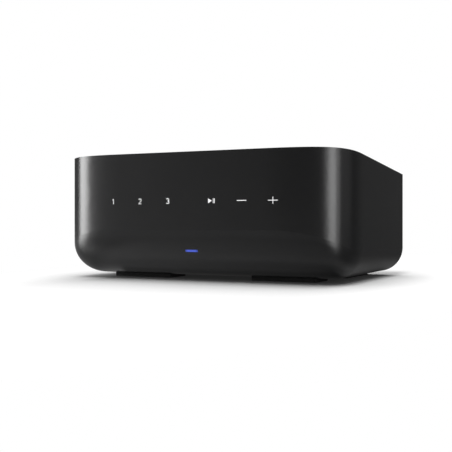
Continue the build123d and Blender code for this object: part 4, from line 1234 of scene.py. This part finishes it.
    def floor(self) -> None:
        """Lays the paper floor, which a camera below it looks through."""
        bm = bmesh.new()
        bmesh.ops.create_grid(bm, x_segments=1, y_segments=1, size=self.floor_half)
        mesh = mesh_from(bm, "floor")
        plane = add_item("floor", mesh)
        material = bpy.data.materials.new("matt_white_paper")
        material.use_nodes = True
        tree = material.node_tree
        tree.nodes.clear()
        place = add_node(tree, "ShaderNodeTexCoord").outputs["Object"]
        distance = self.off_footprint(tree, place)
        path = add_node(tree, "ShaderNodeLightPath")
        by_ray = {
            "Fac": path.outputs["Is Camera Ray"],
            1: self.mirrored_paper(tree, place, distance),
            2: self.seen_paper(tree, place, distance),
        }
        paper = add_node(tree, "ShaderNodeMixShader", links=by_ray)
        side = add_node(tree, "ShaderNodeNewGeometry")
        clear = add_node(tree, "ShaderNodeBsdfTransparent")
        by_side = {
            "Fac": side.outputs["Backfacing"],
            1: paper.outputs["Shader"],
            2: clear.outputs["BSDF"],
        }
        surface = add_node(tree, "ShaderNodeMixShader", links=by_side)
        add_node(tree, "ShaderNodeOutputMaterial", links={"Surface": surface.outputs["Shader"]})
        mesh.materials.append(material)

    def world(self) -> None:
        """Sets a white backdrop for the camera and a dim room with two soft glows for the rest."""
        world = bpy.data.worlds.new("studio")
        bpy.context.scene.world = world
        world.use_nodes = True
        tree = world.node_tree
        tree.nodes.clear()
        path = add_node(tree, "ShaderNodeLightPath")
        place = add_node(tree, "ShaderNodeTexCoord").outputs["Generated"]
        total = summed(tree, [grade.lay(tree, place) for grade in self.room])
        white = {"Color": linear("ffffff")}
        room = add_node(tree, "ShaderNodeBackground", white, {"Strength": total})
        backdrop = add_node(tree, "ShaderNodeBackground", white | {"Strength": 1.0})
        by_ray = {
            "Fac": path.outputs["Is Camera Ray"],
            1: room.outputs["Background"],
            2: backdrop.outputs["Background"],
        }
        mix = add_node(tree, "ShaderNodeMixShader", links=by_ray)
        add_node(tree, "ShaderNodeOutputWorld", links={"Surface": mix.outputs["Shader"]})

    def camera(self) -> None:
        """Sets the camera at the photograph's angle."""
        data = bpy.data.cameras.new("camera")
        data.sensor_width = self.sensor_mm
        data.lens = self.lens_mm
        data.shift_y = self.shift_up
        data.clip_end = self.sight
        eye = add_item("camera", data)
        eye.location = self.camera_at
        eye.rotation_euler = (math.pi / 2, 0.0, self.camera_yaw)
        bpy.context.scene.camera = eye

    def build(self) -> None:
        """Sets up the whole studio."""
        self.floor()
        self.world()
        for lamp in self.lamps:
            lamp.hang()
        self.camera()
        bpy.context.scene.view_settings.view_transform = "Standard"


NODE_FINISHES = {
    "shell": ("housing", "top_cover", "setup_button", "power_rocker"),
    "small_moulding": (
        "terminal_plate", "terminal_inner_plate", "phono_block", "ethernet_insert", "usb_tongue",
        "aux_jack", "optical_socket", "optical_shutter", "mains_inlet", "switch_frame",
        "setup_switch", "light_frame",
    ),
    "powder_coat": ("rear_panel",),
    "zinc": ("board_screws", "radio_shield", "ethernet_shield", "usb_shield"),
    "black_oxide": ("panel_screws", "cover_screws"),
    "gold": ("terminal_nuts", "phono_sleeves", "ethernet_contacts"),
    "gold_thread": ("terminal_studs",),
    "nickel": (
        "mains_blades", "ring_left_plus", "ring_left_minus", "ring_right_plus", "ring_right_minus"
    ),
    "red_cap": ("cap_left_plus", "cap_right_plus"),
    "black_cap": ("cap_left_minus", "cap_right_minus"),
    "white_nylon": ("phono_inserts_left",),
    "red_nylon": ("phono_inserts_right",),
    "light_pipe": ("status_light_bar",),
    "film": ("touch_film", "touch_flex"),
    "board": ("main_board", "power_board", "touch_board", "radio_module"),
    "epoxy": ("power_chips", "output_coils"),
    "lamp": ("key_lamps",),
    "black_aluminium": ("heat_sink",),
    "aluminium": ("cooling_plate", "antennas"),
    "sleeve": ("rail_capacitors", "reservoir_capacitors"),
    "ferrite": ("transformer_core",),
    "copper": ("transformer_coil", "mains_choke", "power_link"),
    "red_lead": ("mains_leads", "speaker_leads"),
}


def dress_nodes(finishes: Finishes) -> None:
    """Gives every carried-over solid its finish.

    Args:
        finishes: The amplifier's finishes.
    """
    left = set(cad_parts)
    for finish, names in NODE_FINISHES.items():
        for name in names:
            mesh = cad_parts[name].data
            mesh.materials.clear()
            mesh.materials.append(finishes.get(finish))
            left.discard(name)
    LOG.info("solids without a finish of their own: %s", sorted(left))


def main() -> None:
    """Builds the scene in order and reports each part of it."""
    logging.basicConfig(level=logging.INFO, format="%(name)s: %(message)s")
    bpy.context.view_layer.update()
    Studio().build()
    finishes = Finishes()
    dress_nodes(finishes)
    for marks in (KeyMarks, RearMarks, RockerMarks):
        for piece in marks(finishes).build():
            LOG.info("printed %s", piece.name)
    LOG.info("made %s", Feet(finishes).build().name)


if __name__ == "__main__":
    main()
